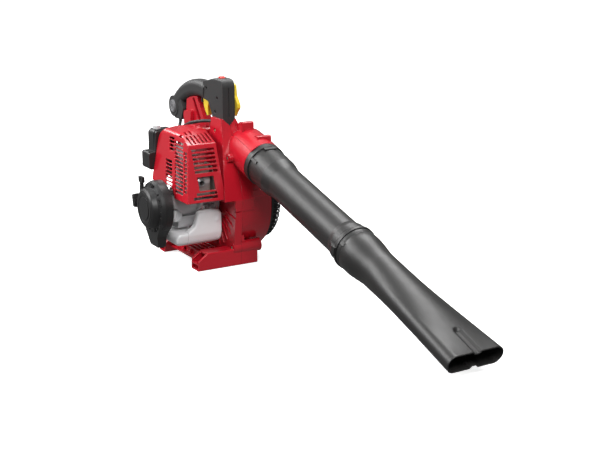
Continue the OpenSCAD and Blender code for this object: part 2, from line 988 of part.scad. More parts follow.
drum_back = -162;
drum_depth = 40;

// Sloping skirt under the drum, from the front view and the side view together
module skirt(inset) {
    intersection() {
        side(-205, drum_back - inset)
            rounded([
                [-120 + inset, 118], [-97 + inset, 38 + inset], [-59 - inset, 38 + inset],
                [-52 - inset, 62], [-24 - inset, 92], [-30, 121], [-110, 135]
            ], [0, 4, 3, 6, 0, 0, 0]);
        front(-130, -10)
            polygon([
                [-193 + inset, 125], [-191 + inset, 104], [-178 + inset, 38 + inset],
                [drum_back - inset, 38 + inset], [drum_back - inset, 125]
            ]);
    }
}

module recoil_housing() {
    color("dimgray")
    difference() {
        union() {
            toward_left(drum_back) drum_shell();
            difference() {
                skirt(0);
                skirt(wall);
                toward_left(drum_back + 1) cylinder(r = drum_r - wall, h = 45);
            }
            for (a = recoil_legs)
                ycyl(fan_x + 33 * cos(a), fan_z + 33 * sin(a), 4.5, drum_back - 3, -140);
            for (a = recoil_legs)
                rotate_about_fan(a)
                    block([fan_x + 29, drum_back - 3, fan_z - 4],
                        [fan_x + drum_r - 1, drum_back + 1, fan_z + 4]);
            ycyl(fan_x, fan_z, 5, drum_back - drum_depth + 2, drum_back - 7);
            rope_guide();
            choke_arm();
        }
        for (a = recoil_legs)
            ycyl(fan_x + 33 * cos(a), fan_z + 33 * sin(a), 2, -172, -139);
        rope_line() rotate(hole_turn) translate([0, 0, -4]) cylinder(r = 2.6, h = 34);
    }
}

module rotate_about_fan(a) {
    translate([fan_x, 0, fan_z]) rotate([0, -a, 0]) translate([-fan_x, 0, -fan_z]) children();
}

// Drum wall, sloping shoulder, raised ring and flat nose
module drum_shell() {
    difference() {
        rotate_extrude($fn = round_fn)
            polygon([
                [drum_r - wall, 0], [drum_r, 0], [drum_r, 17], [drum_r - 3, 23], [41, 27],
                [39, 37], [35, drum_depth], [0, drum_depth], [0, drum_depth - 3], [34, drum_depth - 3],
                [36, 35], [38, 25], [drum_r - 6, 20], [drum_r - wall, 16]
            ]);
        for (a = [20, 110, 200, 290])
            rotate([0, 0, a]) rotate_extrude(angle = 62, $fn = round_fn)
                polygon([[42, 25], [drum_r - 4, 21.6], [drum_r - 4, 36], [42, 36]]);
    }
    translate([0, 0, drum_depth]) cylinder(r = 23, h = 1.2);
    difference() {
        translate([0, 0, drum_depth]) cylinder(r = 32, h = 0.8);
        translate([0, 0, drum_depth - 1]) cylinder(r = 26, h = 4);
    }
}

rope_y = -182;
reel_rope_r = 33;
grip_x = -142;
grip_y = rope_y;
grip_z = 119;
pull_slope = 12;
// The two round walls of the guide start at different angles, so their seams stay apart
guide_turn = 25;
hole_turn = 40;

// Children drawn along +Z leave the drum along the pull of the rope
module rope_line() {
    translate([grip_x + 30 * cos(pull_slope), grip_y, grip_z + 30 * sin(pull_slope)])
        rotate([0, -90 - pull_slope, 0]) children();
}

module rope_guide() {
    difference() {
        rope_line() rotate(guide_turn) translate([0, 0, 4]) cylinder(r = 7, h = 12);
        toward_left(drum_back) cylinder(r = drum_r - wall, h = 30);
    }
}

// Arm behind the drum that carries the choke lever
module choke_arm() {
    difference() {
        side(choke_right + 0.2, choke_right + 6)
            rounded([
                [choke_x - 8, choke_z - 8], [fan_x - drum_r + 2, 108], [fan_x - drum_r + 12, 108],
                [fan_x - drum_r + 12, 132], [choke_x - 8, choke_z + 7]
            ], [6, 0, 0, 0, 6]);
        ycyl(choke_x, choke_z, 3.05, choke_right, choke_right + 7);
    }
    side(drum_back - 3, choke_right + 6)
        intersection() {
            difference() {
                translate([fan_x, fan_z]) circle(r = drum_r, $fn = round_fn);
                translate([fan_x, fan_z]) circle(r = drum_r - wall, $fn = round_fn);
            }
            translate([fan_x - drum_r, 106]) square([20, 28]);
        }
}

module recoil_reel() {
    color("white")
    difference() {
        toward_left(drum_back - 14) union() {
            cylinder(r = 37, h = 2);
            cylinder(r = reel_rope_r - 3, h = 12);
            translate([0, 0, 10]) cylinder(r = 37, h = 2);
        }
        ycyl(fan_x, fan_z, 5.06, -210, -150);
        toward_left(drum_back - 20) for (a = [0:60:300])
            rotate([0, 0, a]) translate([18, 0, -10]) cylinder(r = 6, h = 30);
    }
}

spring_turns = 6;

// A point of the flat spiral spring
function spring_point(a, dr) = let (r = 10 + 3.2 * a / 360 + dr) [r * cos(a), r * sin(a)];

module recoil_spring() {
    color("silver")
    toward_left(drum_back - 28) linear_extrude(6)
        polygon(concat(
            [for (a = [0:15:spring_turns * 360]) spring_point(a, 0)],
            [for (a = [spring_turns * 360:-15:0]) spring_point(a, 1)]
        ));
}

cup_r = 16;

module starter_cup() {
    color("silver")
    difference() {
        toward_left(crank_front - 2) difference() {
            cylinder(r = cup_r, h = 11);
            translate([0, 0, 2]) cylinder(r = cup_r - 3, h = 12);
            for (a = [0:90:270])
                rotate([0, 0, a]) translate([cup_r - 5, -3, 6]) cube([8, 6, 8]);
        }
        ycyl(fan_x, fan_z, shaft_r + 0.03, -170, -140);
    }
}

module starter_grip() {
    color("black")
    difference() {
        translate([grip_x, grip_y, grip_z]) rotate([0, -90 - pull_slope, 0]) union() {
            cylinder(r = 6, h = 4);
            translate([-13, -8, 2]) side_round_block(28, 16, 12, 4);
            for (x = [-8, -1, 6]) translate([x, -9, 5]) cube([3, 18, 7]);
        }
        rope_line() cylinder(r = 1.6, h = 38);
    }
}

// Block with rounded corners in plan
module side_round_block(l, w, h, r) {
    linear_extrude(h) rounded_box_2d([0, 0], [l, w], r);
}

cover_rear_x = -155;
cover_low_z = 138;
cover_right_y = -69;
cover_side_y = -150;
cover_side_lean = 0.2;
slot_h = 3.6;

// Side view of the cover: sloping front, arched top, round rear shoulder
module cover_side_view(inset) {
    rounded([
        [cover_rear_x + inset, cover_low_z - 20],
        [panel_front(cover_low_z - 20) - inset, cover_low_z - 20],
        [panel_front(249) - inset, 249 - inset / 2],
        [-63, 270.5 - inset],
        [-105, 273 - inset],
        [cover_rear_x + inset, 262 - inset]
    ], [0, 0, 10 - inset, 60, 60, 52 - inset]);
}

// Front view: the side leans out toward the bottom
module cover_front_view(inset) {
    rounded([
        [cover_side(cover_low_z - 20) + inset, cover_low_z - 20],
        [cover_right_y, cover_low_z - 20],
        [cover_right_y, 282 - inset],
        [cover_side(263) + inset, 263 - inset]
    ], [0, 0, 0, 14 - inset]);
}

// Where the side of the cover stands at a height
function cover_side(z) = cover_side_y + cover_side_lean * (z - 147);

module cover_form(inset) {
    intersection() {
        side(-190, -60) cover_side_view(inset);
        front(-200, 40) cover_front_view(inset);
        top(100, 300) rounded([
            [cover_rear_x + inset, -60], [cover_rear_x + inset, -158 + inset],
            [60, -158 + inset], [60, -60]
        ], [0, 30 - inset, 0, 0]);
    }
}

// Everything the cover stands clear of
module cover_edges() {
    ycyl(fan_x, fan_z, 41, -170, -120);
    side(-190, -60) polygon([
        [cover_rear_x - 10, 60], [panel_x + 40, 60], [panel_x + 40, cover_low_z],
        [-38, cover_low_z], [-48, 148], [-118, 148], [-145, 159], [cover_rear_x - 10, 164]
    ]);
    intersection() {
        front(-200, 60) polygon([
            [bay_low_y - 2, 60], [bay_low_y - 2, panel_low_z], [cover_right_y, 165], [0, 165], [0, 60]
        ]);
        block([-200, -90, 60], [60, 0, 300]);
    }
}

// Long slots across the sloping front, the window for the outlet, two low slots
module front_openings() {
    for (i = [0:front_slots - 1])
        side(-124, -75) slanted_slot(196 + i * 8, slot_h);
    block([-20, -121, 163], [40, -86, 189]);
    side(-128, -84) slanted_slot(155, slot_h);
    side(-136, -84) slanted_slot(147.5, slot_h);
}

module slanted_slot(z, h) {
    polygon([
        [panel_front(z) - 12, z], [panel_front(z) + 5, z],
        [panel_front(z) + 5, z + h], [panel_front(z) - 12, z + h]
    ]);
}

// One column of short slots beside the front corner, following its slope
module slot_column(z0, z1, pitch, from_edge, w) {
    for (z = [z0:pitch:z1])
        translate([panel_front(z) - from_edge - w, -170, z]) cube([w, 50, slot_h]);
}

module side_openings() {
    slot_column(156, 206, 7, 73, 30);
    slot_column(229, 250, 7, 62, 24);
    slot_column(154, 246, 7, 22, 38);
    intersection() {
        slot_column(160, 232, 7, 5, 12);
        block([-80, -170, 100], [60, -124, 300]);
    }
}

top_slot_w = 4.2;
top_slot_pitch = 8.9;

// Slots along the falling top, three short ones behind six long ones
module top_openings() {
    for (i = [0:2]) {
        y = -127 + i * (top_slot_pitch + 0.9);
        block([-59, y, 245], [-46, y + top_slot_w, 300]);
    }
    for (i = [0:5]) {
        y = -121.5 + i * top_slot_pitch;
        block([-41 - 1.5 * i, y, 245], [-14.5 - i, y + top_slot_w, 300]);
    }
}

module engine_cover() {
    color("crimson")
    difference() {
        cover_form(0);
        cover_form(cover_wall);
        cover_edges();
        front_openings();
        side_openings();
        top_openings();
        block([cover_rear_x - 2, -154, 176], [carb_end + 1, -86, 300]);
    }
}

handle_screws_at = [[-52, 330], [-62, 302], [-100, 345]];
damper_x = -258;
damper_z = 287;

// Side view of the post with its rounded head
module post_side_view() {
    rounded([
        [column_front - 0.4, 270], [column_front - 0.4, handle_top], [-58, handle_top],
        [-86, handle_top - 7], [-114, handle_top - 14], [-116, 322],
        [-92, 319], [post_back, 296], [post_back, 270]
    ], [0, 17, 0, 20, 0, 0, 10, 12, 0]);
}

module post_front_view() {
    rounded([
        [seam_y, notch_tip_z],
        [handle_right_y, notch_tip_z + notch_rise * handle_w / 2],
        [handle_right_y, handle_top], [handle_left_y, handle_top],
        [handle_left_y, notch_tip_z + notch_rise * handle_w / 2]
    ], [0, 0, 6, 6, 0]);
}

// Arched grip, swept along its arc
module arch(w, h, from, sweep) {
    translate([arch_x, seam_y, arch_z]) rotate([90, 0, 0]) rotate([0, 0, from])
        rotate_extrude(angle = sweep, $fn = round_fn)
            translate([arch_r, 0]) rounded_box_2d([-h / 2, -w / 2], [h / 2, w / 2], w / 2 - 3);
}

module handle_form() {
    difference() {
        union() {
            intersection() {
                side(handle_left_y, handle_right_y) post_side_view();
                front(-130, column_front + 1) post_front_view();
            }
            arch(grip_w, grip_h, 79, 57);
            tongue(0);
            ycyl(damper_x, damper_z, 22, seam_y - grip_w / 2, seam_y + grip_w / 2);
            side(seam_y - 14, seam_y + 14)
                rounded([[-262, 268], [-253, 262], [-222, 262], [-212, 286], [-226, 312], [-262, 296]],
                    [4, 4, 4, 4, 8, 4]);
            block([-145, seam_y - 3, 310], [-140, seam_y + 3, 324]);
        }
        trigger_space();
        switch_space();
        block([column_front - 2, seam_y - 1, 294], [column_front + 2, seam_y + 1, handle_top - 18]);
        ycyl(damper_x, damper_z, 13.5, seam_y - 20, seam_y - 13);
        ycyl(screw_x, screw_z, housing_screw_r, seam_y - 8, seam_y);
        ycyl(lever_x, lever_z, 3.05, handle_right_y - 8, handle_right_y + 1);
        for (s = handle_screws_at) {
            ycyl(s[0], s[1], 2, seam_y - 20, seam_y + 8);
            ycyl(s[0], s[1], 3.4, seam_y - 20, seam_y - 8);
        }
    }
}

module handle_left() {
    color("dimgray")
    intersection() {
        handle_form();
        engine_side();
    }
}

module handle_right() {
    color("dimgray")
    intersection() {
        handle_form();
        intake_side();
    }
}

module rear_damper() {
    color("gray")
    difference() {
        union() {
            ycyl(damper_x, damper_z, 13.4, seam_y - 17, seam_y - 13);
            ycyl(damper_x, damper_z, 11, seam_y - 18.5, seam_y - 15);
        }
        ycyl(damper_x, damper_z, 3.5, seam_y - 20, seam_y - 14.5);
        difference() {
            ycyl(damper_x, damper_z, 9.6, seam_y - 20, seam_y - 17.5);
            ycyl(damper_x, damper_z, 5.5, seam_y - 20, seam_y - 17);
        }
    }
}

trigger_x = -112;
trigger_z = 327;

module trigger_space() {
    side(seam_y - 7, seam_y + 7)
        rounded([[-139, 300], [-99, 300], [-99, 334], [-104, 339], [-139, 336]], [0, 0, 3, 3, 5]);
}

module throttle_trigger() {
    color("gold")
    difference() {
        side(seam_y - 5, seam_y + 5)
            rounded([
                [-116, 286], [-109, 287], [-112, 302], [-104, 320], [-105, 332], [-112, 335],
                [-120, 332], [-131, 322], [-129, 302]
            ], [3, 3, 20, 4, 4, 5, 5, 3, 12]);
        ycyl(trigger_x, trigger_z, 2.5, seam_y - 8, seam_y + 8);
    }
}

module trigger_pin() {
    color("silver")
    ycyl(trigger_x, trigger_z, 2.46, seam_y - 7, seam_y + 7);
}

lever_x = -46;
lever_z = 340;

module cruise_lever() {
    color("gold")
    difference() {
        union() {
            side(handle_right_y + 0.2, handle_right_y + 7)
                rounded([
                    [-33, 293.5], [-26, 303], [-16, 313], [-17, 320], [-30, 336], [-33, 356], [-40, 361],
                    [-50, 352], [-55, 338], [-50, 318], [-46, 298]
                ], [4, 4, 3, 3, 10, 4, 5, 6, 6, 20, 5]);
            ycyl(lever_x, lever_z, 3, handle_right_y - 7.5, handle_right_y + 1);
        }
        side(handle_right_y + 5.5, handle_right_y + 8)
            rounded([[-36, 302], [-24, 315], [-36, 332], [-43, 318]], [2, 2, 2, 2]);
    }
}

switch_floor = handle_top - 9;
switch_gap = 0.2;

module switch_space() {
    block([-58, seam_y - 9, switch_floor], [-43, seam_y + 11, handle_top + 1]);
}

module stop_switch() {
    color("red")
    difference() {
        union() {
            block([-58 + switch_gap, seam_y - 9 + switch_gap, switch_floor + switch_gap],
                [-43 - switch_gap, seam_y + 3, handle_top - 2]);
            side(seam_y - 8, seam_y + 2.4)
                rounded([
                    [-56, handle_top - 4], [-45, handle_top - 4],
                    [-46, handle_top + 1.5], [-54, handle_top + 3]
                ], [0, 0, 1, 1]);
        }
        for (y = [seam_y - 6:3:seam_y + 2])
            block([-55, y, handle_top + 1.8], [-44, y + 1, handle_top + 4]);
    }
}

coupling_r = 38.5;
nozzle_at = 323;
nozzle_wall = 2.4;
loft_at = 400;
loft_rings = 18;
loft_sides = 48;
mouth_lift = 4;
groove_depth = 4.5;

module blower_tube() {
    color("dimgray")
    along_tube() {
        rotate_extrude($fn = round_fn)
            polygon([
                [collar_r, spigot_start], [collar_r, 46], [tube_r + 0.3, 68], [tube_r, 72],
                [tube_r, 286], [coupling_r, 298], [coupling_r, 312], [42, 317], [42, nozzle_at - 0.3],
                [socket_r, nozzle_at - 0.3], [socket_r, 352], [socket_r - 2, 354],
                [socket_r - 3.4, 354], [socket_r - 3.4, 322], [tube_r - 2.4, 300], [tube_r - 2.4, 70],
                [collar_r - 2.4, 47], [collar_r - 2.4, spigot_start]
            ]);
        collar_band();
        for (a = [90, 270])
            rotate([0, 0, a]) coupling_lug();
    }
}

socket_r = 36.9;

// Raised band outside the duct with its grip ribs and latch
module collar_band() {
    difference() {
        union() {
            difference() {
                translate([0, 0, duct_end + 0.4]) cylinder(r = duct_r - 0.4, h = 13, $fn = round_fn);
                for (a = [100, 215, 330])
                    rotate([0, 0, a]) translate([collar_r + 0.6, -9, duct_end - 1]) cube([8, 18, 9]);
            }
            rotate([0, 0, 180]) translate([collar_r - 1, -13, duct_end + 13]) cube([2.6, 26, 9]);
            for (a = [-60, 60])
                rotate([0, 0, 180 + a]) translate([collar_r - 1, -3, duct_end + 13]) cube([3, 6, 20]);
        }
        translate([0, 0, duct_end - 2]) cylinder(r = collar_r - 2, h = 60, $fn = round_fn);
    }
}

// Lug of the coupling with its lead-in slope
module coupling_lug() {
    rotate([90, 0, 0]) translate([0, 0, -8]) linear_extrude(16)
        polygon([[coupling_r - 2, 296], [coupling_r + 3, 306], [coupling_r + 5.5, 312],
            [coupling_r + 5.5, 321], [coupling_r - 2, 321]]);
}

// Eased step from 0 to 1 between two places along the tube
function ease(l, from, to) = let (t = max(0, min(1, (l - from) / (to - from)))) t * t * (3 - 2 * t);
function grow(v, power) = sign(v) * pow(abs(v), power);

// A ring of the nozzle: round behind, flat and grooved at the mouth
function nozzle_ring(l, inset) = let (
    wide = tube_r + (mouth_w / 2 - tube_r) * ease(l, 470, tube_reach) - inset,
    tall = tube_r + (mouth_h / 2 - tube_r) * ease(l, 420, tube_reach - 14) - inset,
    squareness = 1 - 0.34 * ease(l, 460, tube_reach),
    lift = mouth_lift * ease(l, 420, tube_reach),
    groove = groove_depth * ease(l, tube_reach - 95, tube_reach - 8)
) [for (k = [0:loft_sides - 1]) let (
    a = 360 * k / loft_sides,
    y = wide * grow(sin(a), squareness),
    x = tall * grow(cos(a), squareness)
) [x - sign(x) * groove * exp(-pow(y / 9, 2)) - lift, y, l]];

module nozzle_loft() {
    step = (tube_reach - loft_at) / loft_rings;
    skin = [for (i = [0:loft_rings]) nozzle_ring(loft_at + i * step, 0)];
    lining = [for (i = [0:loft_rings]) nozzle_ring(loft_at + i * step, nozzle_wall)];
    rings = concat(skin, [for (i = [loft_rings:-1:0]) lining[i]]);
    polyhedron(
        points = [for (ring = rings) each ring],
        faces = [
            for (i = [0:len(rings) - 1], k = [0:loft_sides - 1]) let (
                m = loft_sides, j = (i + 1) % len(rings), n = (k + 1) % m
            ) each [[i * m + k, j * m + k, j * m + n], [i * m + k, j * m + n, i * m + n]]
        ]
    );
}

module blower_nozzle() {
    color("dimgray")
    along_tube() {
        rotate_extrude($fn = round_fn)
            polygon([
                [socket_r + twist_gap, nozzle_at], [40.4, nozzle_at], [40.4, 346], [38, 366],
                [tube_r + 0.5, 390], [tube_r + 0.5, loft_at + 4], [tube_r - nozzle_wall - 0.5, loft_at + 4],
                [tube_r - nozzle_wall - 0.5, 388], [socket_r + twist_gap, 362]
            ]);
        nozzle_loft();
        for (a = [60, 180, 300])
            rotate([0, 0, a]) translate([39, -4, nozzle_at]) cube([2.4, 8, 12]);
    }
}

cable_r = 3.4;
cable_sides = 10;
cable_path = [
    [-236, -40, 261], [-235, -41, 255], [-228, -46, 250],
    [-208, -54, 247], [-186, -60, 252], [-160, -63, 262],
    [-132, -64, 271], [-104, -57, 277.5], [-85, -46, 280], [column_back - 1.5, -41, 280]
];
lead_path = [
    [-79, -60.3, 178], [-79, -66, 178.2], [-80, -76, 186], [-80, -84, 206], [-79, -87, 234], [-73, -93, 249],
    [-64, -101, 252], [-64, -106.1, 252]
];
fuel_path = [
    [-104, -84, 69], [-104, -84, 75], [-110, -84, 83], [-119, -84, 92], [-126, -84, 110], [-130, -83, 145],
    [-130, -83, 178], [-129, -86, 190], [-128, -92, 193.8], [-128, -97.5, 194]
];

// Smooth curve through a list of points
function curve(p, n) = [
    for (i = [0:len(p) - 2], k = [0:n - 1]) let (
        a = p[max(i - 1, 0)], b = p[i], c = p[i + 1], d = p[min(i + 2, len(p) - 1)], t = k / n
    ) 0.5 * (2 * b + (c - a) * t + (2 * a - 5 * b + 4 * c - d) * t * t + (3 * b - a - 3 * c + d) * t * t * t),
    p[len(p) - 1]
];

// Round cord swept along a curve
module cord(path, r) {
    p = curve(path, 4);
    last = len(p) - 1;
    m = cable_sides;
    rings = [for (i = [0:last]) let (
        along = unit(p[min(i + 1, last)] - p[max(i - 1, 0)]),
        n = unit(cross(along, [0.2, 1, 0.1])),
        b = cross(along, n)
    ) for (k = [0:m - 1]) p[i] + r * (n * cos(360 * k / m) + b * sin(360 * k / m))];
    polyhedron(
        points = rings,
        faces = concat(
            [[for (k = [0:m - 1]) k]],
            [[for (k = [m - 1:-1:0]) last * m + k]],
            [for (i = [0:last - 1], k = [0:m - 1]) let (n = (k + 1) % m)
                [i * m + k, (i + 1) * m + k, (i + 1) * m + n, i * m + n]]
        )
    );
}

module throttle_cable() {
    color("black") cord(cable_path, cable_r);
}

module ignition_lead() {
    color("black") cord(lead_path, 2.4);
}

module fuel_line() {
    color("gold") cord(fuel_path, 2.4);
}

module starter_rope() {
    color("white")
    rope_line() translate([0, 0, -1]) cylinder(r = 1.5, h = 34);
}

// Screw along Y with its head toward the engine side
module screw(x, z, r, head_r, y_head, y_end) {
    difference() {
        union() {
            ycyl(x, z, head_r, y_head, y_head + 2.6);
            ycyl(x, z, r, y_head + 2.6, y_end);
        }
        ycyl(x, z, head_r / 2, y_head - 1, y_head + 1.4);
    }
}

module housing_screws() {
    color("silver") {
        for (s = joint_screws) screw(s[0], s[1], 2.15, 3.9, s[3] + 0.4, seam_y + tower_depth - 4);
        screw(clamp_x, clamp_z, 2.15, 3.9, -51.6, -43.2);
    }
}

module handle_screws() {
    color("silver") {
        for (s = handle_screws_at) screw(s[0], s[1], 1.95, 3.3, seam_y - 10.6, seam_y + 7);
        screw(screw_x, screw_z, 2.15, 3.9, column_screw_y + 0.4, seam_y - 1);
    }
}

module recoil_screws() {
    color("silver")
    for (a = recoil_legs)
        screw(fan_x + 33 * cos(a), fan_z + 33 * sin(a), 1.95, 3.6, drum_back - 6.6, -131);
}

fan_housing_engine_side();
fan_housing_intake_side();
intake_guard();
impeller();
impeller_nut();
crankshaft();
shaft_seal();
flywheel();
ignition_coil();
ignition_lead();
crankcase();
cylinder_block();
spark_plug();
spark_plug_cap();
exhaust_gasket();
muffler();
muffler_outlet();
heat_shield();
carb_insulator();
carburettor();
primer_bulb();
air_cleaner_base();
air_filter();
air_cleaner_cover();
air_cleaner_knob();
choke_lever();
fuel_tank();
fuel_cap();
tank_mounts();
fuel_line();
oil_neck();
oil_filler_cap();
recoil_housing();
recoil_reel();
recoil_spring();
starter_cup();
starter_rope();
starter_grip();
recoil_screws();
engine_cover();
handle_left();
handle_right();
rear_damper();
throttle_trigger();
trigger_pin();
cruise_lever();
stop_switch();
throttle_cable();
housing_screws();
handle_screws();
blower_tube();
blower_nozzle();
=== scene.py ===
"""Studio scene of a handheld leaf blower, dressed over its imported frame.

Lengths are metres in the part's own frame: +X runs forward along the tube,
+Z is up, and the origin lies on the sole of the front foot.
"""

import json
import logging
import math
from collections.abc import Callable, Iterable, Sequence
from dataclasses import dataclass
from enum import Enum

import bmesh
import bpy
from mathutils import Matrix, Vector


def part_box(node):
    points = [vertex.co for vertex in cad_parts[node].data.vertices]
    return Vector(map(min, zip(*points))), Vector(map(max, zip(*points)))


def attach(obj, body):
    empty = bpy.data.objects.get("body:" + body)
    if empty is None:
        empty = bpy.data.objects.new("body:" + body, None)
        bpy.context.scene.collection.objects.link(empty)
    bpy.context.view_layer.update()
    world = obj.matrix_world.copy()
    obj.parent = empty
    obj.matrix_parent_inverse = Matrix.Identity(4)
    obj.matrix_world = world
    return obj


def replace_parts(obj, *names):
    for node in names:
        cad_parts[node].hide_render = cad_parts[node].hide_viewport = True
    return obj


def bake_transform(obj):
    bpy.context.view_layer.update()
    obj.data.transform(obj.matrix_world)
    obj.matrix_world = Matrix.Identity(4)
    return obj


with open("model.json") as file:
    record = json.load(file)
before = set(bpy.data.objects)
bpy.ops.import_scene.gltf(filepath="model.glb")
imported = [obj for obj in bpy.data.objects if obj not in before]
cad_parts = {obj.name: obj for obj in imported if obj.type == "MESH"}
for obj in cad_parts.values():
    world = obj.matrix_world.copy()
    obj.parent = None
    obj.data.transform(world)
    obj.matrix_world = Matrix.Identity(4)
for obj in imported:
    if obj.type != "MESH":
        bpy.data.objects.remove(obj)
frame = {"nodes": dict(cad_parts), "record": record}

LOG = logging.getLogger("leaf_blower")
MM = 0.001
MICRONS = 1e6
SHARP_ANGLE = math.radians(35)

Colour = tuple[float, float, float]
WHITE: Colour = (1.0, 1.0, 1.0)
Point = tuple[float, float, float]
Ring = tuple[float, float]
Mesh = tuple[list[Vector], list[tuple[int, ...]]]
Reach = Callable[[float, float, float], float]


class Shade:
    """A shader socket that takes part in sums written as Python expressions."""

    def __init__(self, graph: "Graph", socket: bpy.types.NodeSocket) -> None:
        """Wraps a socket.

        Args:
            graph: The graph that the socket's node belongs to.
            socket: The output socket to wrap.
        """
        self.graph = graph
        self.socket = socket

    def _apply(self, operation: str, first: object, second: object = 0.0) -> "Shade":
        """Adds the node for one operation.

        Args:
            operation: The name of the Math or Vector Math operation.
            first: The left value.
            second: The right value.

        Returns:
            The result's socket.
        """
        wide = any(isinstance(v, Shade) and v.socket.type == "VECTOR" for v in (first, second))
        kind = "ShaderNodeVectorMath" if wide else "ShaderNodeMath"
        return self.graph.node(kind, {"operation": operation}, {0: first, 1: second})

    def __add__(self, other: object) -> "Shade":
        """Returns self + other."""
        return self._apply("ADD", self, other)

    def __radd__(self, other: object) -> "Shade":
        """Returns other + self."""
        return self._apply("ADD", other, self)

    def __sub__(self, other: object) -> "Shade":
        """Returns self - other."""
        return self._apply("SUBTRACT", self, other)

    def __rsub__(self, other: object) -> "Shade":
        """Returns other - self."""
        return self._apply("SUBTRACT", other, self)

    def __mul__(self, other: object) -> "Shade":
        """Returns self * other."""
        return self._apply("MULTIPLY", self, other)

    def __rmul__(self, other: object) -> "Shade":
        """Returns other * self."""
        return self._apply("MULTIPLY", other, self)

    def __abs__(self) -> "Shade":
        """Returns the size of self without its sign."""
        return self._apply("ABSOLUTE", self)

    def sine(self) -> "Shade":
        """Returns the sine of self, taken in radians."""
        return self._apply("SINE", self)

    def over(self, low: float, high: float) -> "Shade":
        """Returns a mask that eases from 0 to 1 as self goes from low to high."""
        inputs = {0: self, 1: low, 2: high, 3: 0.0, 4: 1.0}
        return self.graph.node("ShaderNodeMapRange", {"interpolation_type": "SMOOTHSTEP"}, inputs)


class Graph:
    """The node tree of one material."""

    def __init__(self, material: bpy.types.Material) -> None:
        """Empties the material's tree and gives it a surface shader.

        Args:
            material: The material to work on.
        """
        material.use_nodes = True
        self.tree = material.node_tree
        self.tree.nodes.clear()
        surface = self.node("ShaderNodeBsdfPrincipled")
        self.shader = surface.socket.node
        self.plug(self.tree.nodes.new("ShaderNodeOutputMaterial").inputs[0], surface)

    def plug(self, socket: bpy.types.NodeSocket, value: object) -> None:
        """Links a shade into an input, or sets the input to a plain value.

        Args:
            socket: The input socket.
            value: A shade, a number or a tuple.
        """
        if isinstance(value, Shade):
            self.tree.links.new(value.socket, socket)
        elif isinstance(value, tuple) and len(value) == 3 and socket.type == "RGBA":
            socket.default_value = (*value, 1.0)
        else:
            socket.default_value = value

    def node(
        self,
        kind: str,
        settings: dict[str, object] | None = None,
        inputs: dict[int | str, object] | None = None,
        output: int | str = 0,
    ) -> Shade:
        """Adds a node of any type.

        Args:
            kind: The node's type.
            settings: Its properties, set before its sockets; "stops" fills a colour ramp.
            inputs: Values or shades by socket name or number.
            output: The output that is returned.

        Returns:
            The chosen output.
        """
        made = self.tree.nodes.new(kind)
        for key, value in (settings or {}).items():
            if key == "stops":
                ramp = made.color_ramp
                while len(ramp.elements) < len(value):
                    ramp.elements.new(0.5)
                for element, (place, colour) in zip(ramp.elements, value):
                    element.position = place
                    element.color = (*colour, 1.0)
            else:
                setattr(made, key, value)
        for key, value in (inputs or {}).items():
            self.plug(made.inputs[key], value)
        return Shade(self, made.outputs[output])

    def place(self) -> Shade:
        """Returns the point in the part's frame."""
        return self.node("ShaderNodeTexCoord", output="Object")

    def axes(self) -> tuple[Shade, Shade, Shade]:
        """Returns the point's X, Y and Z as three shades."""
        inputs = {0: self.place()}
        return tuple(self.node("ShaderNodeSeparateXYZ", None, inputs, i) for i in range(3))

    def noise(self, per_metre: float, detail: float = 2.0, at: Shade | None = None) -> Shade:
        """Returns smooth noise, about 0 to 1, of so many waves to a metre."""
        inputs = {"Vector": at or self.place(), "Scale": per_metre, "Detail": detail}
        return self.node("ShaderNodeTexNoise", None, inputs)

    def cells(self, per_metre: float) -> Shade:
        """Returns the distance to the nearest point of a cell pattern."""
        inputs = {"Vector": self.place(), "Scale": per_metre}
        return self.node("ShaderNodeTexVoronoi", {"feature": "F1"}, inputs, "Distance")

    def mix(self, first: object, second: object, share: object) -> Shade:
        """Returns the first colour with a share of the second."""
        inputs = {0: share, 6: first, 7: second}
        return self.node("ShaderNodeMix", {"data_type": "RGBA"}, inputs, 2)

    def soft_edges(self, radius: float) -> Shade:
        """Returns the normal with edges rounded to a radius in metres."""
        return self.node("ShaderNodeBevel", {"samples": 4}, {"Radius": radius})

    def edge_mask(self, rounded: Shade) -> Shade:
        """Finds the edges.

        Args:
            rounded: The normal with rounded edges.

        Returns:
            1 on edges and 0 on flats.
        """
        flat = self.node("ShaderNodeNewGeometry", output="Normal")
        inputs = {0: rounded, 1: flat}
        along = self.node("ShaderNodeVectorMath", {"operation": "DOT_PRODUCT"}, inputs, "Value")
        return (1.0 - along).over(*EDGE_TURN)

    def bump(self, height: Shade, depth: float, normal: Shade | None = None) -> Shade:
        """Adds relief.

        Args:
            height: The height map, about 0 to 1.
            depth: The height of 1, in metres.
            normal: The normal that it starts from.

        Returns:
            The bumped normal.
        """
        inputs: dict[int | str, object] = {"Strength": 1.0, "Distance": depth, "Height": height}
        if normal is not None:
            inputs["Normal"] = normal
        return self.node("ShaderNodeBump", None, inputs)

    def surface(self, **values: object) -> None:
        """Sets or links inputs of the surface shader; an underscore stands for a space."""
        for key, value in values.items():
            self.plug(self.shader.inputs[key.replace("_", " ").title()], value)


# How far a normal turns at the start and at the crest of an edge, as 1 - cosine
EDGE_TURN = (0.01, 0.22)


def tinted(colour: Colour, by: float) -> Colour:
    """Returns a colour made lighter or darker by a factor."""
    return tuple(min(1.0, c * by) for c in colour)


# The rope's middle line is z = slope * x + height at y = -aside, in metres
ROPE_SLOPE, ROPE_HEIGHT, ROPE_ASIDE = 0.2126, 0.1492, 0.182
STRANDS, STRAND_TURNS = 2600.0, 3.0
BRUSH_STROKES = (140.0, 2600.0, 2600.0)


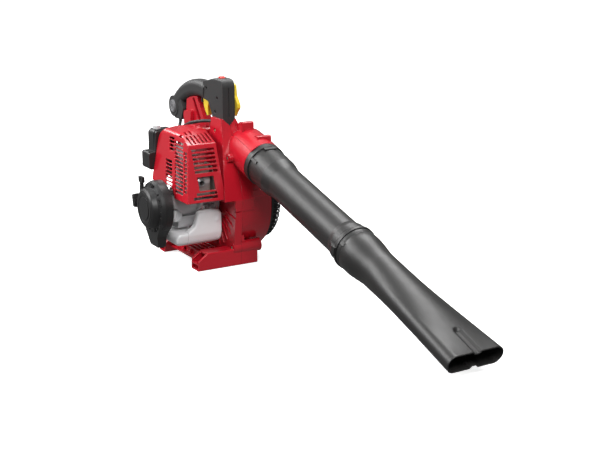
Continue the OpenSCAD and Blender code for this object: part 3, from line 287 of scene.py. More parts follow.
def braid(graph: Graph) -> Shade:
    """Makes the crossed strands of a cord that runs mostly along X.

    Args:
        graph: The material's graph.

    Returns:
        The strands' height.
    """
    x, y, z = graph.axes()
    inputs = {0: z - x * ROPE_SLOPE - ROPE_HEIGHT, 1: y + ROPE_ASIDE}
    turn = graph.node("ShaderNodeMath", {"operation": "ARCTAN2"}, inputs)
    right = (x * STRANDS + turn * STRAND_TURNS).sine()
    left = (x * STRANDS - turn * STRAND_TURNS).sine()
    return abs(right) * 0.5 + abs(left) * 0.5


class Grain(Enum):
    """The fine relief of a surface: its depth in metres and its height map."""

    GLOSS = (0.000012, lambda graph: graph.noise(420.0, 1.0))
    SPARK = (0.00005, lambda graph: graph.noise(2600.0, 2.0) * 0.6 + graph.cells(1900.0) * 0.4)
    CAST = (0.00016, lambda graph: graph.noise(1100.0, 5.0))
    BRUSHED = (0.00001, lambda graph: graph.noise(1.0, 3.0, graph.place() * BRUSH_STROKES))
    PRESSED = (0.00008, lambda graph: graph.noise(260.0, 4.0))
    FOAM = (0.0005, lambda graph: graph.cells(900.0))
    BRAID = (0.00025, braid)


@dataclass(frozen=True)
class Parting:
    """A moulding line, where the point's coordinate along an axis has one value."""

    axis: int
    place: float
    half_width: float = 0.00022
    depth: float = 0.00012

    def line(self, graph: Graph) -> Shade:
        """Returns 1 on the moulding line and 0 elsewhere."""
        away = abs(graph.axes()[self.axis] - self.place)
        return 1.0 - away.over(self.half_width * 0.5, self.half_width * 1.5)


# Waves to a metre and detail of the noise behind slow tints, smears and heat
CLOUDS, SMEAR_NOISE, HEAT_NOISE = (9.0, 3.0), (60.0, 4.0), (24.0, 2.0)
# How much lighter the colour is painted on edges, how fully it shows, and how the roughness varies
EDGE_LIGHTENING, EDGE_LIGHTENING_SHARE = 6.0, 2.5
SMEARS, GRAIN_ROUGHNESS = 0.25, 0.06
COAT_ROUGHNESS = 0.08
# How dark a moulding line is, and how fully it shows
LINE_DARK, LINE_SHARE = 0.35, 0.8
SUBSURFACE_DEPTH = 4 * MM
HEAT_TINTS: tuple[tuple[float, Colour], ...] = (
    (0.4, (0.34, 0.22, 0.10)),
    (0.65, (0.16, 0.08, 0.13)),
    (0.85, (0.06, 0.09, 0.18)),
)


@dataclass(frozen=True)
class Finish:
    """What a surface is made of and how it is worked."""

    colour: Colour
    roughness: float
    grain: Grain = Grain.GLOSS
    metallic: float = 0.0
    coat: float = 0.0
    mottle: float = 0.06
    rounding: float = 0.0006
    edge_light: float = 0.12
    subsurface: float = 0.0
    transmission: float = 0.0
    heat: float = 0.0
    parting: Parting | None = None

    def material(self, name: str) -> bpy.types.Material:
        """Builds the material.

        Args:
            name: The material's name.

        Returns:
            The finished material.
        """
        made = bpy.data.materials.new(name)
        graph = Graph(made)
        rounded = graph.soft_edges(self.rounding)
        edges = graph.edge_mask(rounded)
        normal, relief = self.relief(graph, rounded)
        cloud = graph.noise(*CLOUDS)
        # The colour is painted lighter along the edges that the edge mask finds
        lighter_edge_colour = tinted(self.colour, 1.0 + EDGE_LIGHTENING * self.edge_light)
        colour = graph.mix(self.tint(graph, cloud), lighter_edge_colour, edges * self.edge_light * EDGE_LIGHTENING_SHARE)
        smears = (graph.noise(*SMEAR_NOISE) - 0.5) * (SMEARS * self.roughness)
        roughness = self.roughness + smears + (relief - 0.5) * GRAIN_ROUGHNESS
        if self.parting:
            line = self.parting.line(graph)
            colour = graph.mix(colour, tinted(self.colour, LINE_DARK), line * LINE_SHARE)
            normal = graph.bump(1.0 - line, self.parting.depth, normal)
        graph.surface(
            base_color=colour,
            roughness=roughness,
            metallic=self.metallic,
            coat_weight=self.coat,
            coat_roughness=COAT_ROUGHNESS,
            subsurface_weight=self.subsurface,
            subsurface_radius=(1.0, 1.0, 1.0),
            subsurface_scale=SUBSURFACE_DEPTH,
            transmission_weight=self.transmission,
            normal=normal,
        )
        return made

    def tint(self, graph: Graph, cloud: Shade) -> Shade:
        """Varies the colour slowly over the piece, and with heat where there is any.

        Args:
            graph: The material's graph.
            cloud: Slow noise over the piece.

        Returns:
            The base colour.
        """
        low = tinted(self.colour, 1.0 - self.mottle)
        high = tinted(self.colour, 1.0 + self.mottle)
        plain = graph.mix(low, high, cloud.over(0.3, 0.7))
        if not self.heat:
            return plain
        stops = [(0.0, self.colour), *HEAT_TINTS, (1.0, self.colour)]
        bands = graph.node("ShaderNodeValToRGB", {"stops": stops}, {0: graph.noise(*HEAT_NOISE)})
        return graph.mix(plain, bands, self.heat)

    def relief(self, graph: Graph, normal: Shade) -> tuple[Shade, Shade]:
        """Adds the grain.

        Args:
            graph: The material's graph.
            normal: The rounded normal below it.

        Returns:
            The bumped normal and the height map.
        """
        depth, height_map = self.grain.value
        height = height_map(graph)
        return graph.bump(height, depth, normal), height


SEAM = Parting(axis=1, place=-31 * MM)
TANK_SEAM = Parting(axis=1, place=-128 * MM, half_width=0.0003, depth=0.0002)
FINISHES: dict[str, Finish] = {
    "red_plastic": Finish(
        (0.50, 0.008, 0.02), 0.22, coat=0.3, mottle=0.05,
        edge_light=0.08, rounding=0.001, parting=SEAM,
    ),
    "black_plastic": Finish((0.014, 0.014, 0.0145), 0.4, Grain.SPARK),
    "tube_plastic": Finish((0.017, 0.0165, 0.016), 0.42, Grain.SPARK, mottle=0.1, rounding=0.001),
    "grip_plastic": Finish(
        (0.030, 0.030, 0.0305), 0.5, Grain.SPARK, rounding=0.0012, parting=SEAM
    ),
    "grey_plastic": Finish((0.20, 0.20, 0.21), 0.38, Grain.SPARK),
    "yellow_plastic": Finish((0.83, 0.60, 0.035), 0.3, coat=0.2, rounding=0.001),
    "switch_red": Finish((0.80, 0.03, 0.015), 0.3, coat=0.3),
    "tank_plastic": Finish(
        (0.88, 0.88, 0.89), 0.32, Grain.SPARK, subsurface=0.35,
        mottle=0.03, rounding=0.0015, parting=TANK_SEAM,
    ),
    "cap_grey": Finish((0.66, 0.67, 0.68), 0.4, Grain.SPARK),
    "cast_aluminium": Finish((0.62, 0.62, 0.63), 0.46, Grain.CAST, metallic=0.6, mottle=0.1),
    "steel": Finish((0.52, 0.52, 0.53), 0.3, Grain.BRUSHED, metallic=1.0),
    "hot_steel": Finish((0.50, 0.47, 0.44), 0.42, Grain.PRESSED, metallic=0.7, heat=0.3),
    "zinc": Finish((0.64, 0.61, 0.52), 0.28, Grain.BRUSHED, metallic=1.0, rounding=0.0002),
    "black_rubber": Finish((0.016, 0.016, 0.017), 0.55, Grain.PRESSED),
    "ceramic": Finish((0.86, 0.85, 0.81), 0.16, coat=0.5),
    "foam": Finish((0.045, 0.045, 0.05), 0.9, Grain.FOAM, rounding=0.002),
    "clear_yellow": Finish((0.80, 0.62, 0.16), 0.22, transmission=0.35),
    "white_plastic": Finish((0.76, 0.76, 0.74), 0.42, Grain.SPARK),
}
ROPE = Finish((0.15, 0.145, 0.13), 0.6, Grain.BRAID, rounding=0.0002)


@dataclass(frozen=True)
class Palette:
    """Hands out materials, one for each finish."""

    made: dict[Finish, bpy.types.Material]

    def get(self, finish: Finish, name: str) -> bpy.types.Material:
        """Gives the material of a finish, built at its first use.

        Args:
            finish: The finish.
            name: The name for a new material.

        Returns:
            The material.
        """
        if finish not in self.made:
            self.made[finish] = finish.material(name)
            LOG.info("material %s", name)
        return self.made[finish]

    def paint(self, piece: bpy.types.Object, finish: Finish, name: str) -> None:
        """Gives a piece one material."""
        piece.data.materials.clear()
        piece.data.materials.append(self.get(finish, name))


def ring_angles(count: int) -> list[float]:
    """Returns evenly spaced angles round a full turn."""
    return [math.tau * k / count for k in range(count)]


def grid_mesh(rows: Sequence[Sequence[Vector]], closed_ends: bool = False) -> Mesh:
    """Joins rings of points into one skin.

    Args:
        rows: The rings, each with the same number of points.
        closed_ends: Whether the first and last ring are filled.

    Returns:
        The vertices and faces.
    """
    count = len(rows[0])
    vertices = [point for row in rows for point in row]
    faces: list[tuple[int, ...]] = []
    for i in range(len(rows) - 1):
        for k in range(count):
            n = (k + 1) % count
            faces.append((i * count + k, i * count + n, (i + 1) * count + n, (i + 1) * count + k))
    if closed_ends:
        faces.append(tuple(reversed(range(count))))
        faces.append(tuple(range((len(rows) - 1) * count, len(rows) * count)))
    return vertices, faces


def joined(parts: Iterable[Mesh]) -> Mesh:
    """Puts several meshes into one.

    Args:
        parts: The meshes.

    Returns:
        The vertices and faces of all of them.
    """
    vertices: list[Vector] = []
    faces: list[tuple[int, ...]] = []
    for some_vertices, some_faces in parts:
        start = len(vertices)
        vertices += some_vertices
        faces += [tuple(start + i for i in face) for face in some_faces]
    return vertices, faces


def moved(mesh: Mesh, matrix: Matrix) -> Mesh:
    """Returns the mesh carried by a matrix."""
    return [matrix @ v for v in mesh[0]], mesh[1]


def make(name: str, mesh: Mesh, smooth: bool = True) -> bpy.types.Object:
    """Makes an object in the part's frame.

    Args:
        name: The object's name.
        mesh: Its vertices and faces.
        smooth: Whether faces at a shallow angle to each other shade as one.

    Returns:
        The new object.
    """
    data = bpy.data.meshes.new(name)
    data.from_pydata([tuple(v) for v in mesh[0]], [], mesh[1])
    data.validate()
    made = bpy.data.objects.new(name, data)
    bpy.context.scene.collection.objects.link(made)
    if smooth:
        data.shade_smooth()
        data.set_sharp_from_angle(angle=SHARP_ANGLE)
    return made


def frame_at(origin: Vector, along: Vector) -> Matrix:
    """Returns the matrix that puts +Z along a direction at a point."""
    turn = along.to_track_quat("Z", "Y").to_matrix().to_4x4()
    return Matrix.Translation(origin) @ turn


def plain(radius: float, height: float, angle: float) -> float:
    """Returns the radius of a plain turned ring."""
    return radius


def lathe(profile: Sequence[Ring], sides: int, reach: Reach = plain) -> Mesh:
    """Turns a profile about Z, with a radius that may change round the turn.

    Args:
        profile: Radius and height of each ring.
        sides: Points in a ring.
        reach: Gives the radius from radius, height and angle.

    Returns:
        The closed mesh.
    """
    rows = []
    for radius, height in profile:
        row = []
        for angle in ring_angles(sides):
            far = reach(radius, height, angle)
            row.append(Vector((far * math.cos(angle), far * math.sin(angle), height)))
        rows.append(row)
    return grid_mesh(rows, closed_ends=True)


# Where the first point of a swept ring looks; any direction off the path does
SWEEP_START = Vector((0.13, 0.97, 0.21))


def sweep(path: Sequence[Vector], radius: float, sides: int) -> Mesh:
    """Carries a circle along a path.

    Args:
        path: The middle line.
        radius: The circle's radius.
        sides: Points in a ring.

    Returns:
        The closed mesh.
    """
    rows = []
    normal = SWEEP_START
    for i, point in enumerate(path):
        along = (path[min(i + 1, len(path) - 1)] - path[max(i - 1, 0)]).normalized()
        side = (normal - along * normal.dot(along)).normalized()
        other = along.cross(side)
        normal = side
        rim = [side * math.cos(a) + other * math.sin(a) for a in ring_angles(sides)]
        rows.append([point + radius * spoke for spoke in rim])
    return grid_mesh(rows, closed_ends=True)


def slab(low: Point, high: Point, chamfer: float) -> Mesh:
    """Makes a box with chamfered edges.

    Args:
        low: The lowest corner.
        high: The highest corner.
        chamfer: How far the edges are cut back.

    Returns:
        The closed mesh.
    """
    middle = [(a + b) / 2 for a, b in zip(low, high)]
    half = [(b - a) / 2 for a, b in zip(low, high)]
    rows = []
    for height, inset in ((-1, chamfer), (-1, 0.0), (1, 0.0), (1, chamfer)):
        z = middle[2] + height * (half[2] - (0.0 if inset else chamfer))
        x, y, c = half[0] - inset, half[1] - inset, chamfer
        right, left = [(x, -y + c), (x, y - c)], [(-x, y - c), (-x, c - y)]
        corners = [*right, (x - c, y), (c - x, y), *left, (c - x, -y), (x - c, -y)]
        rows.append([Vector((middle[0] + a, middle[1] + b, z)) for a, b in corners])
    return grid_mesh(rows, closed_ends=True)


def loose_boxes(piece: bpy.types.Object) -> list[tuple[Vector, Vector]]:
    """Finds the separate solids of a CAD node.

    Args:
        piece: The node's object.

    Returns:
        The lowest and highest corner of each solid, sorted.
    """
    keys = [tuple(round(c * MICRONS) for c in v.co) for v in piece.data.vertices]
    leader = {key: key for key in keys}

    def top(key: tuple[int, ...]) -> tuple[int, ...]:
        """Finds the group that a point is in.

        Args:
            key: The point.

        Returns:
            The point that names the group.
        """
        while leader[key] != key:
            leader[key] = leader[leader[key]]
            key = leader[key]
        return key

    for polygon in piece.data.polygons:
        first, *others = [keys[i] for i in polygon.vertices]
        for other in others:
            leader[top(other)] = top(first)
    groups: dict[tuple[int, ...], list[Vector]] = {}
    for key, vertex in zip(keys, piece.data.vertices):
        groups.setdefault(top(key), []).append(vertex.co)
    boxes = []
    for points in groups.values():
        low = Vector(min(p[i] for p in points) for i in range(3))
        high = Vector(max(p[i] for p in points) for i in range(3))
        boxes.append((low, high))
    return sorted(boxes, key=lambda box: tuple(box[0]))


# Shares of the head's radius and height that the socket takes, and its lobes
SOCKET_SHARE, SOCKET_RIM, SOCKET_DEPTH = 0.52, 0.56, 0.55
LOBES, LOBE_DEPTH = 6.0, 0.16
# The thread's root as a share of the shank, and how far under the head it starts
THREAD_ROOT, THREAD_START = 0.80, 0.6 * MM
THREAD_RINGS, SCREW_SIDES = 96, 48
SHANK_SHARE, HEAD_HEIGHT = 0.54, 2.6 * MM
# How long the shank's bare end is, and its last, steeper cone
TAPER, POINT = 3.0 * MM, 0.8 * MM
NEAR = 1e-9


@dataclass(frozen=True)
class Screw:
    """A thread-forming screw with a round washer head and a six-lobe socket."""

    origin: Vector
    along: Vector
    head_radius: float
    shank_radius: float
    head_height: float
    length: float
    pitch: float

    def mesh(self) -> Mesh:
        """Builds the screw with its head's top at the origin and its point along the axis.

        Returns:
            The closed mesh.
        """
        head, shank, tall = self.head_radius, self.shank_radius, self.head_height
        socket = head * SOCKET_SHARE
        hollow = [(0.25, SOCKET_DEPTH), (0.98, SOCKET_DEPTH), (1.0, 0.5), (1.0, 0.02), (1.07, 0.0)]
        dome = [(0.72, 0.02), (0.80, 0.10), (0.84, 0.62), (0.97, 0.66)]
        dome += [(1.0, 0.72), (1.0, 0.96), (0.97, 1.0)]
        outer = [(socket * r, tall * h) for r, h in hollow]
        outer += [(head * r, tall * h) for r, h in dome] + [(shank, tall)]
        tip = self.length - TAPER
        rings = range(1, THREAD_RINGS + 1)
        thread = [(shank, tall + (tip - tall) * i / THREAD_RINGS) for i in rings]
        end = [(shank * 0.6, self.length - POINT), (shank * 0.12, self.length)]
        turned = lathe(outer + thread + end, SCREW_SIDES, self.reach)
        return moved(turned, frame_at(self.origin, self.along))

    def reach(self, radius: float, height: float, angle: float) -> float:
        """Gives the socket its lobes and the shank its thread.

        Args:
            radius: The plain radius.
            height: The distance from the head's top.
            angle: The angle round the axis.

        Returns:
            The radius at that angle.
        """
        in_socket = height <= self.head_height * SOCKET_DEPTH + NEAR
        if in_socket and radius <= self.head_radius * SOCKET_RIM:
            return radius * (1.0 + LOBE_DEPTH * math.cos(LOBES * angle))
        on_shank = abs(radius - self.shank_radius) < NEAR
        if on_shank and height > self.head_height + THREAD_START:
            phase = (height / self.pitch - angle / math.tau) % 1.0
            crest = 1.0 - abs(2.0 * phase - 1.0)
            return radius * (THREAD_ROOT + 0.20 * crest)
        return radius


PITCH = math.radians(15.6)
TUBE_ROOT = Vector((73.5 * MM, 0.0, 208 * MM))
# The crank and fan axis, which runs along Y
FAN_X, FAN_Z = -68 * MM, 121 * MM
SHARP = 0.01 * MM
# How much of a slot's height is open in the CAD, less a little overlap, in millimetres
CAD_SLOT = 3.3
# The sloping front panel, in millimetres: X at a height, and how far X falls with it
PANEL_X, PANEL_Z, PANEL_SLOPE = 27.0, 140.0, 0.36


def welded(piece: bpy.types.Object) -> Mesh:
    """Makes one corner of those that meet in a CAD node's mesh.

    Args:
        piece: The node's object.

    Returns:
        The vertices and faces of the copy.
    """
    work = bmesh.new()
    work.from_mesh(piece.data)
    bmesh.ops.remove_doubles(work, verts=work.verts, dist=1e-6)
    work.verts.index_update()
    corners = [v.co.copy() for v in work.verts]
    mesh = (corners, [tuple(v.index for v in f.verts) for f in work.faces])
    work.free()
    return mesh


def shaped(draft: bpy.types.Object) -> Mesh:
    """Applies a draft's modifiers and removes the draft.

    Args:
        draft: The object with its modifiers.

    Returns:
        The vertices and faces that they leave.
    """
    final = draft.evaluated_get(bpy.context.evaluated_depsgraph_get()).to_mesh()
    mesh = ([v.co.copy() for v in final.vertices], [tuple(p.vertices) for p in final.polygons])
    bpy.data.objects.remove(draft)
    return mesh


def ease(value: float, low: float, high: float) -> float:
    """Eases from 0 to 1 as the value goes from low to high."""
    t = min(1.0, max(0.0, (value - low) / (high - low)))
    return t * t * (3.0 - 2.0 * t)


def along_tube(across: float, aside: float, length: float) -> Vector:
    """Turns tube coordinates into the part's frame.

    Args:
        across: Distance above the axis, seen along the tube.
        aside: Distance to the intake side.
        length: Distance along the tube from its root.

    Returns:
        The point in the part's frame.
    """
    forward = Vector((math.cos(PITCH), 0.0, -math.sin(PITCH)))
    up = Vector((math.sin(PITCH), 0.0, math.cos(PITCH)))
    return TUBE_ROOT + forward * length + up * across + Vector((0.0, aside, 0.0))


@dataclass
class Assembly:
    """A group of pieces that belong together."""

    nodes: dict[str, bpy.types.Object]
    slots: dict[str, str]
    bodies: dict[str, list[str]]
    palette: Palette

    def dress(self, *names: str) -> None:
        """Gives CAD nodes the finish of their slot.

        Args:
            *names: The nodes.
        """
        for name in names:
            slot = self.slots[name]
            self.palette.paint(self.nodes[name], FINISHES[slot], slot)
            LOG.info("dressed %s", name)

    def add(self, name: str, mesh: Mesh, slot: str, body: str) -> bpy.types.Object:
        """Makes a piece, paints it and lets it ride on a body.

        Args:
            name: The piece's name.
            mesh: Its vertices and faces.
            slot: The record's slot it takes its finish from.
            body: The body that it moves with.

        Returns:
            The piece.
        """
        piece = make(name, mesh)
        self.palette.paint(piece, FINISHES[slot], slot)
        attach(piece, body)
        LOG.info("built %s", name)
        return piece

    def stand_in(self, node: str, name: str, mesh: Mesh) -> None:
        """Makes a piece that takes a node's place, slot and body."""
        body = next(b for b, names in self.bodies.items() if node in names)
        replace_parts(self.add(name, mesh, self.slots[node], body), node)

    def softened(self, node: str, name: str, voxel: float, rounds: int) -> None:
        """Replaces a moulded CAD solid by one whose corners flow into each other.

        Args:
            node: The node that gives the form.
            name: The new piece's name.
            voxel: The size of the new mesh's cells.
            rounds: How often the skin is smoothed.
        """
        draft = make(f"{name}_draft", welded(self.nodes[node]), smooth=False)
        remesh = draft.modifiers.new("cells", "REMESH")
        remesh.mode = "VOXEL"
        remesh.voxel_size = voxel
        smooth = draft.modifiers.new("flow", "SMOOTH")
        smooth.factor = 0.5
        smooth.iterations = rounds
        self.stand_in(node, name, shaped(draft))

    def cut(self, node: str, name: str, cutters: Mesh) -> None:
        """Replaces a CAD solid by a copy with further openings.

        Args:
            node: The node that is copied.
            name: The new piece's name.
            cutters: The space that is taken out.
        """
        tool = make(f"{name}_tool", cutters, smooth=False)
        draft = make(f"{name}_draft", welded(self.nodes[node]), smooth=False)
        step = draft.modifiers.new("openings", "BOOLEAN")
        step.operation = "DIFFERENCE"
        step.solver = "EXACT"
        step.object = tool
        mesh = shaped(draft)
        bpy.data.objects.remove(tool)
        self.stand_in(node, name, mesh)

    def screws(self, node: str, pitch: float) -> None:
        """Replaces a CAD group of screws by detailed ones.

        Args:
            node: The group's name; each screw points along +Y.
            pitch: The distance between thread turns.
        """
        meshes = []
        for low, high in loose_boxes(self.nodes[node]):
            middle = (low + high) / 2
            head = (high.x - low.x) / 2
            top = Vector((middle.x, low.y, middle.z))
            sizes = (head, head * SHANK_SHARE, HEAD_HEIGHT, high.y - low.y, pitch)
            meshes.append(Screw(top, Vector((0.0, 1.0, 0.0)), *sizes).mesh())
        self.stand_in(node, f"{node}_threaded", joined(meshes))


@dataclass
class Housing(Assembly):
    """Fan housing, intake guard, feet and the joint screws."""

    wall_y: float = -46 * MM
    rib_count: int = 6
    rib_first: float = 14.0
    rib_step: float = 12.5
    wire: float = 0.9 * MM
    wires_round: int = 132
    wire_step: float = 2.2 * MM
    hub: float = 21 * MM
    foot_gap: float = 3.4 * MM
    wall_gap: float = 1.3 * MM
    lip_gap: float = 8.2 * MM
    face_gap: float = 1.9 * MM

    def build(self) -> None:
        """Dresses the halves and puts in the screws."""
        self.dress("fan_housing_engine_side", "fan_housing_intake_side", "intake_guard")
        self.screws("housing_screws", 1.7 * MM)
        self.screen()
        self.ribs()

    def screen(self) -> None:
        """Stretches a wire screen just inside the intake guard's ribs."""
        low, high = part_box("intake_guard")
        reach = (high[0] - low[0]) / 2
        wall, lip, deep = reach - self.wall_gap, reach - self.lip_gap, high[1] - self.face_gap
        profile = [(wall, low[1] + self.foot_gap + self.wire_step * i) for i in range(7)]
        start = profile[-1][1]
        steps = [i / 4 for i in range(1, 5)]
        profile += [(wall + (lip - wall) * s, start + (deep - start) * s) for s in steps]
        profile += [(lip - (lip - self.hub) * i / 22, deep) for i in range(1, 23)]
        middle = Vector((FAN_X, 0.0, FAN_Z))
        spokes = [(math.cos(a), math.sin(a)) for a in ring_angles(self.wires_round)]
        rows = []
        for radius, depth in profile:
            rows.append([Vector((radius * x, depth, radius * z)) + middle for x, z in spokes])
        screen = self.add("guard_screen", grid_mesh(rows), "black_plastic", "machine")
        wire = screen.modifiers.new("wires", "WIREFRAME")
        wire.thickness = self.wire
        wire.use_even_offset = False

    def ribs(self) -> None:
        """Stiffens the wall behind the tank with thin ribs that spread from the fan's axis."""
        rib = slab((52 * MM, -2.4 * MM, -0.6 * MM), (92 * MM, 0.4 * MM, 0.6 * MM), 0.25 * MM)
        spot = Matrix.Translation((FAN_X, self.wall_y, FAN_Z))
        parts = []
        for k in range(self.rib_count):
            angle = math.radians(self.rib_first + self.rib_step * k)
            parts.append(moved(rib, spot @ Matrix.Rotation(angle, 4, "Y")))
        self.add("wall_ribs", joined(parts), "red_plastic", "machine")


@dataclass(frozen=True)
class SlotColumn:
    """A column of equal slots through the cover, with its sizes in millimetres.

    The ends lie toward the starter and toward the intake side. The rear is how far a
    slot starts behind the sloping front, and the width is its length along X.
    """

    lowest: float
    count: int
    pitch: float
    tall: float
    ends: tuple[float, float]
    rear: float
    width: float

    def tools(self) -> list[Mesh]:
        """Makes the parts of the slots that the CAD's ones lack.

        Returns:
            The closed meshes to take out.
        """
        left, right = self.ends
        meshes = []
        for i in range(self.count):
            height = self.lowest + self.pitch * i
            rear = PANEL_X - PANEL_SLOPE * (height - PANEL_Z) - self.rear
            low = (rear * MM, left * MM, (height + CAD_SLOT) * MM)
            high = ((rear + self.width) * MM, right * MM, (height + self.tall) * MM)
            meshes.append(slab(low, high, SHARP))
        return meshes


@dataclass
class Engine(Assembly):
    """Fan, crank, cylinder, exhaust, carburettor, air cleaner and cover."""

    below: tuple[Point, Point] = (
        (-100 * MM, -170 * MM, 100 * MM),
        (60 * MM, -60 * MM, 142.5 * MM),
    )
    columns: tuple[SlotColumn, ...] = (
        SlotColumn(196, 6, 8, 5.0, (-124, -75), 12.0, 17.0),
        SlotColumn(155, 1, 8, 5.2, (-128, -84), 12.0, 17.0),
        SlotColumn(147.5, 1, 8, 5.2, (-136, -84), 12.0, 17.0),
        SlotColumn(156, 8, 7, 5.1, (-170, -120), 103, 30),
        SlotColumn(229, 4, 7, 5.1, (-170, -120), 86, 24),
        SlotColumn(154, 14, 7, 5.1, (-170, -120), 60, 38),
        SlotColumn(160, 11, 7, 5.1, (-170, -124), 17.0, 12.0),
    )

    def build(self) -> None:
        """Dresses the engine's pieces and cuts its cover."""
        self.dress("impeller", "impeller_nut", "crankshaft", "shaft_seal", "flywheel")
        self.dress("starter_cup", "ignition_coil", "ignition_lead", "crankcase")
        self.dress("cylinder_block", "spark_plug", "spark_plug_cap", "exhaust_gasket")
        self.dress("muffler", "muffler_outlet", "heat_shield", "carb_insulator")
        self.dress("carburettor", "primer_bulb", "air_cleaner_base", "air_filter")
        self.dress("air_cleaner_cover", "air_cleaner_knob", "choke_lever")
        self.cover()

    def cover(self) -> None:
        """Cuts the cover's slots to their full height, and trims its lower edge."""
        tools = [tool for column in self.columns for tool in column.tools()]
        tools.append(slab(*self.below, SHARP))
        self.cut("engine_cover", "cover_slatted", joined(tools))


@dataclass
class Fuel(Assembly):
    """Tank, caps, oil neck and the fuel line."""

    oil_at: Point = (-51 * MM, -141 * MM, 101 * MM)
    oil_turn: float = math.radians(-38)
    oil_tilt: float = math.radians(65)
    strips: int = 30
    strips_from: float = 12.3 * MM
    strip_depth: float = 0.45 * MM

    def build(self) -> None:
        """Dresses the tank and its fittings."""
        self.softened("fuel_tank", "fuel_tank_blown", 1.5 * MM, 30)
        self.dress("fuel_cap", "tank_mounts", "fuel_line", "oil_neck")
        self.oil_cap()

    def oil_cap(self) -> None:
        """Replaces the oil cap by a ribbed one with a finger bar."""
        turn = Matrix.Rotation(self.oil_turn, 4, "Z") @ Matrix.Rotation(self.oil_tilt, 4, "Y")
        place = Matrix.Translation(self.oil_at) @ turn
        outer = [(4.6, -8.0), (4.9, -7.4), (4.9, -0.4), (12.4, 0.0), (13.0, 0.6), (13.0, 4.6)]
        outer += [(12.2, 5.4), (10.2, 5.6), (9.6, 5.2), (9.0, 5.0), (2.0, 5.0)]
        body = lathe([(r * MM, h * MM) for r, h in outer], 240, self.knurled)
        bar = slab((-9.4 * MM, -2.2 * MM, 4.6 * MM), (9.4 * MM, 2.2 * MM, 10.0 * MM), 0.9 * MM)
        self.stand_in("oil_filler_cap", "oil_cap_ribbed", moved(joined([body, bar]), place))

    def knurled(self, radius: float, height: float, angle: float) -> float:
        """Sinks every other strip of the cap's widest part."""
        sunk = radius > self.strips_from and math.sin(self.strips * angle) < 0
        return radius - (self.strip_depth if sunk else 0.0)


@dataclass
class Starter(Assembly):
    """Recoil starter with its rope and grip."""

    slope: float = math.radians(12.0)
    rope_guide: Point = (-142 * MM, -182 * MM, 119 * MM)
    rope_inside: float = 31 * MM
    rope_length: float = 34 * MM
    rope_held: float = 8 * MM
    rope_radius: float = 1.5 * MM
    rope_rings: int = 160

    def build(self) -> None:
        """Dresses the starter and strings the rope."""
        self.dress("recoil_housing", "recoil_reel", "recoil_spring", "starter_grip")
        self.screws("recoil_screws", 1.5 * MM)
        self.fins()
        self.rope()

    def fins(self) -> None:
        """Sets stiffening fins on the drum's shoulder and a bead round its wall."""
        middle = Matrix.Translation((FAN_X, -162 * MM, FAN_Z))
        fin = slab((42.5 * MM, -25.2 * MM, -0.7 * MM), (49.5 * MM, -20.5 * MM, 0.7 * MM), 0.3 * MM)
        turns = [15 * k for k in range(24) if k % 6 != 2]
        parts = [moved(fin, middle @ Matrix.Rotation(math.radians(a), 4, "Y")) for a in turns]
        bead = [(52.2, 13.3), (52.4, 12.0), (53.5, 12.4), (53.5, 14.2), (52.4, 14.6), (52.2, 13.3)]
        vertices, faces = lathe([(r * MM, h * MM) for r, h in bead], 160)
        ring = (vertices, faces[:-2])
        parts.append(moved(ring, middle @ Matrix.Rotation(math.radians(90), 4, "X")))
        self.add("starter_fins", joined(parts), "black_plastic", "machine")

    def rope(self) -> None:
        """Replaces the rope by a fine straight one that runs out through the rope guide."""
        pull = Vector((-math.cos(self.slope), 0.0, -math.sin(self.slope)))
        start = Vector(self.rope_guide) - pull * self.rope_inside
        end = start + pull * self.rope_length
        path = [start.lerp(end, i / self.rope_rings) for i in range(self.rope_rings + 1)]
        piece = make("starter_rope_braided", sweep(path, self.rope_radius, 24))
        self.palette.paint(piece, ROPE, "rope")
        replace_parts(piece, "starter_rope")
        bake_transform(piece)
        LOG.info("built %s", piece.name)


@dataclass
class Handle(Assembly):
    """Grip halves, trigger, cruise lever, stop switch and cable."""

    def build(self) -> None:
        """Dresses the handle and puts in its screws."""
        self.dress("handle_left", "handle_right", "rear_damper", "throttle_trigger", "trigger_pin")
        self.dress("cruise_lever", "stop_switch", "throttle_cable")
        self.screws("handle_screws", 1.6 * MM)


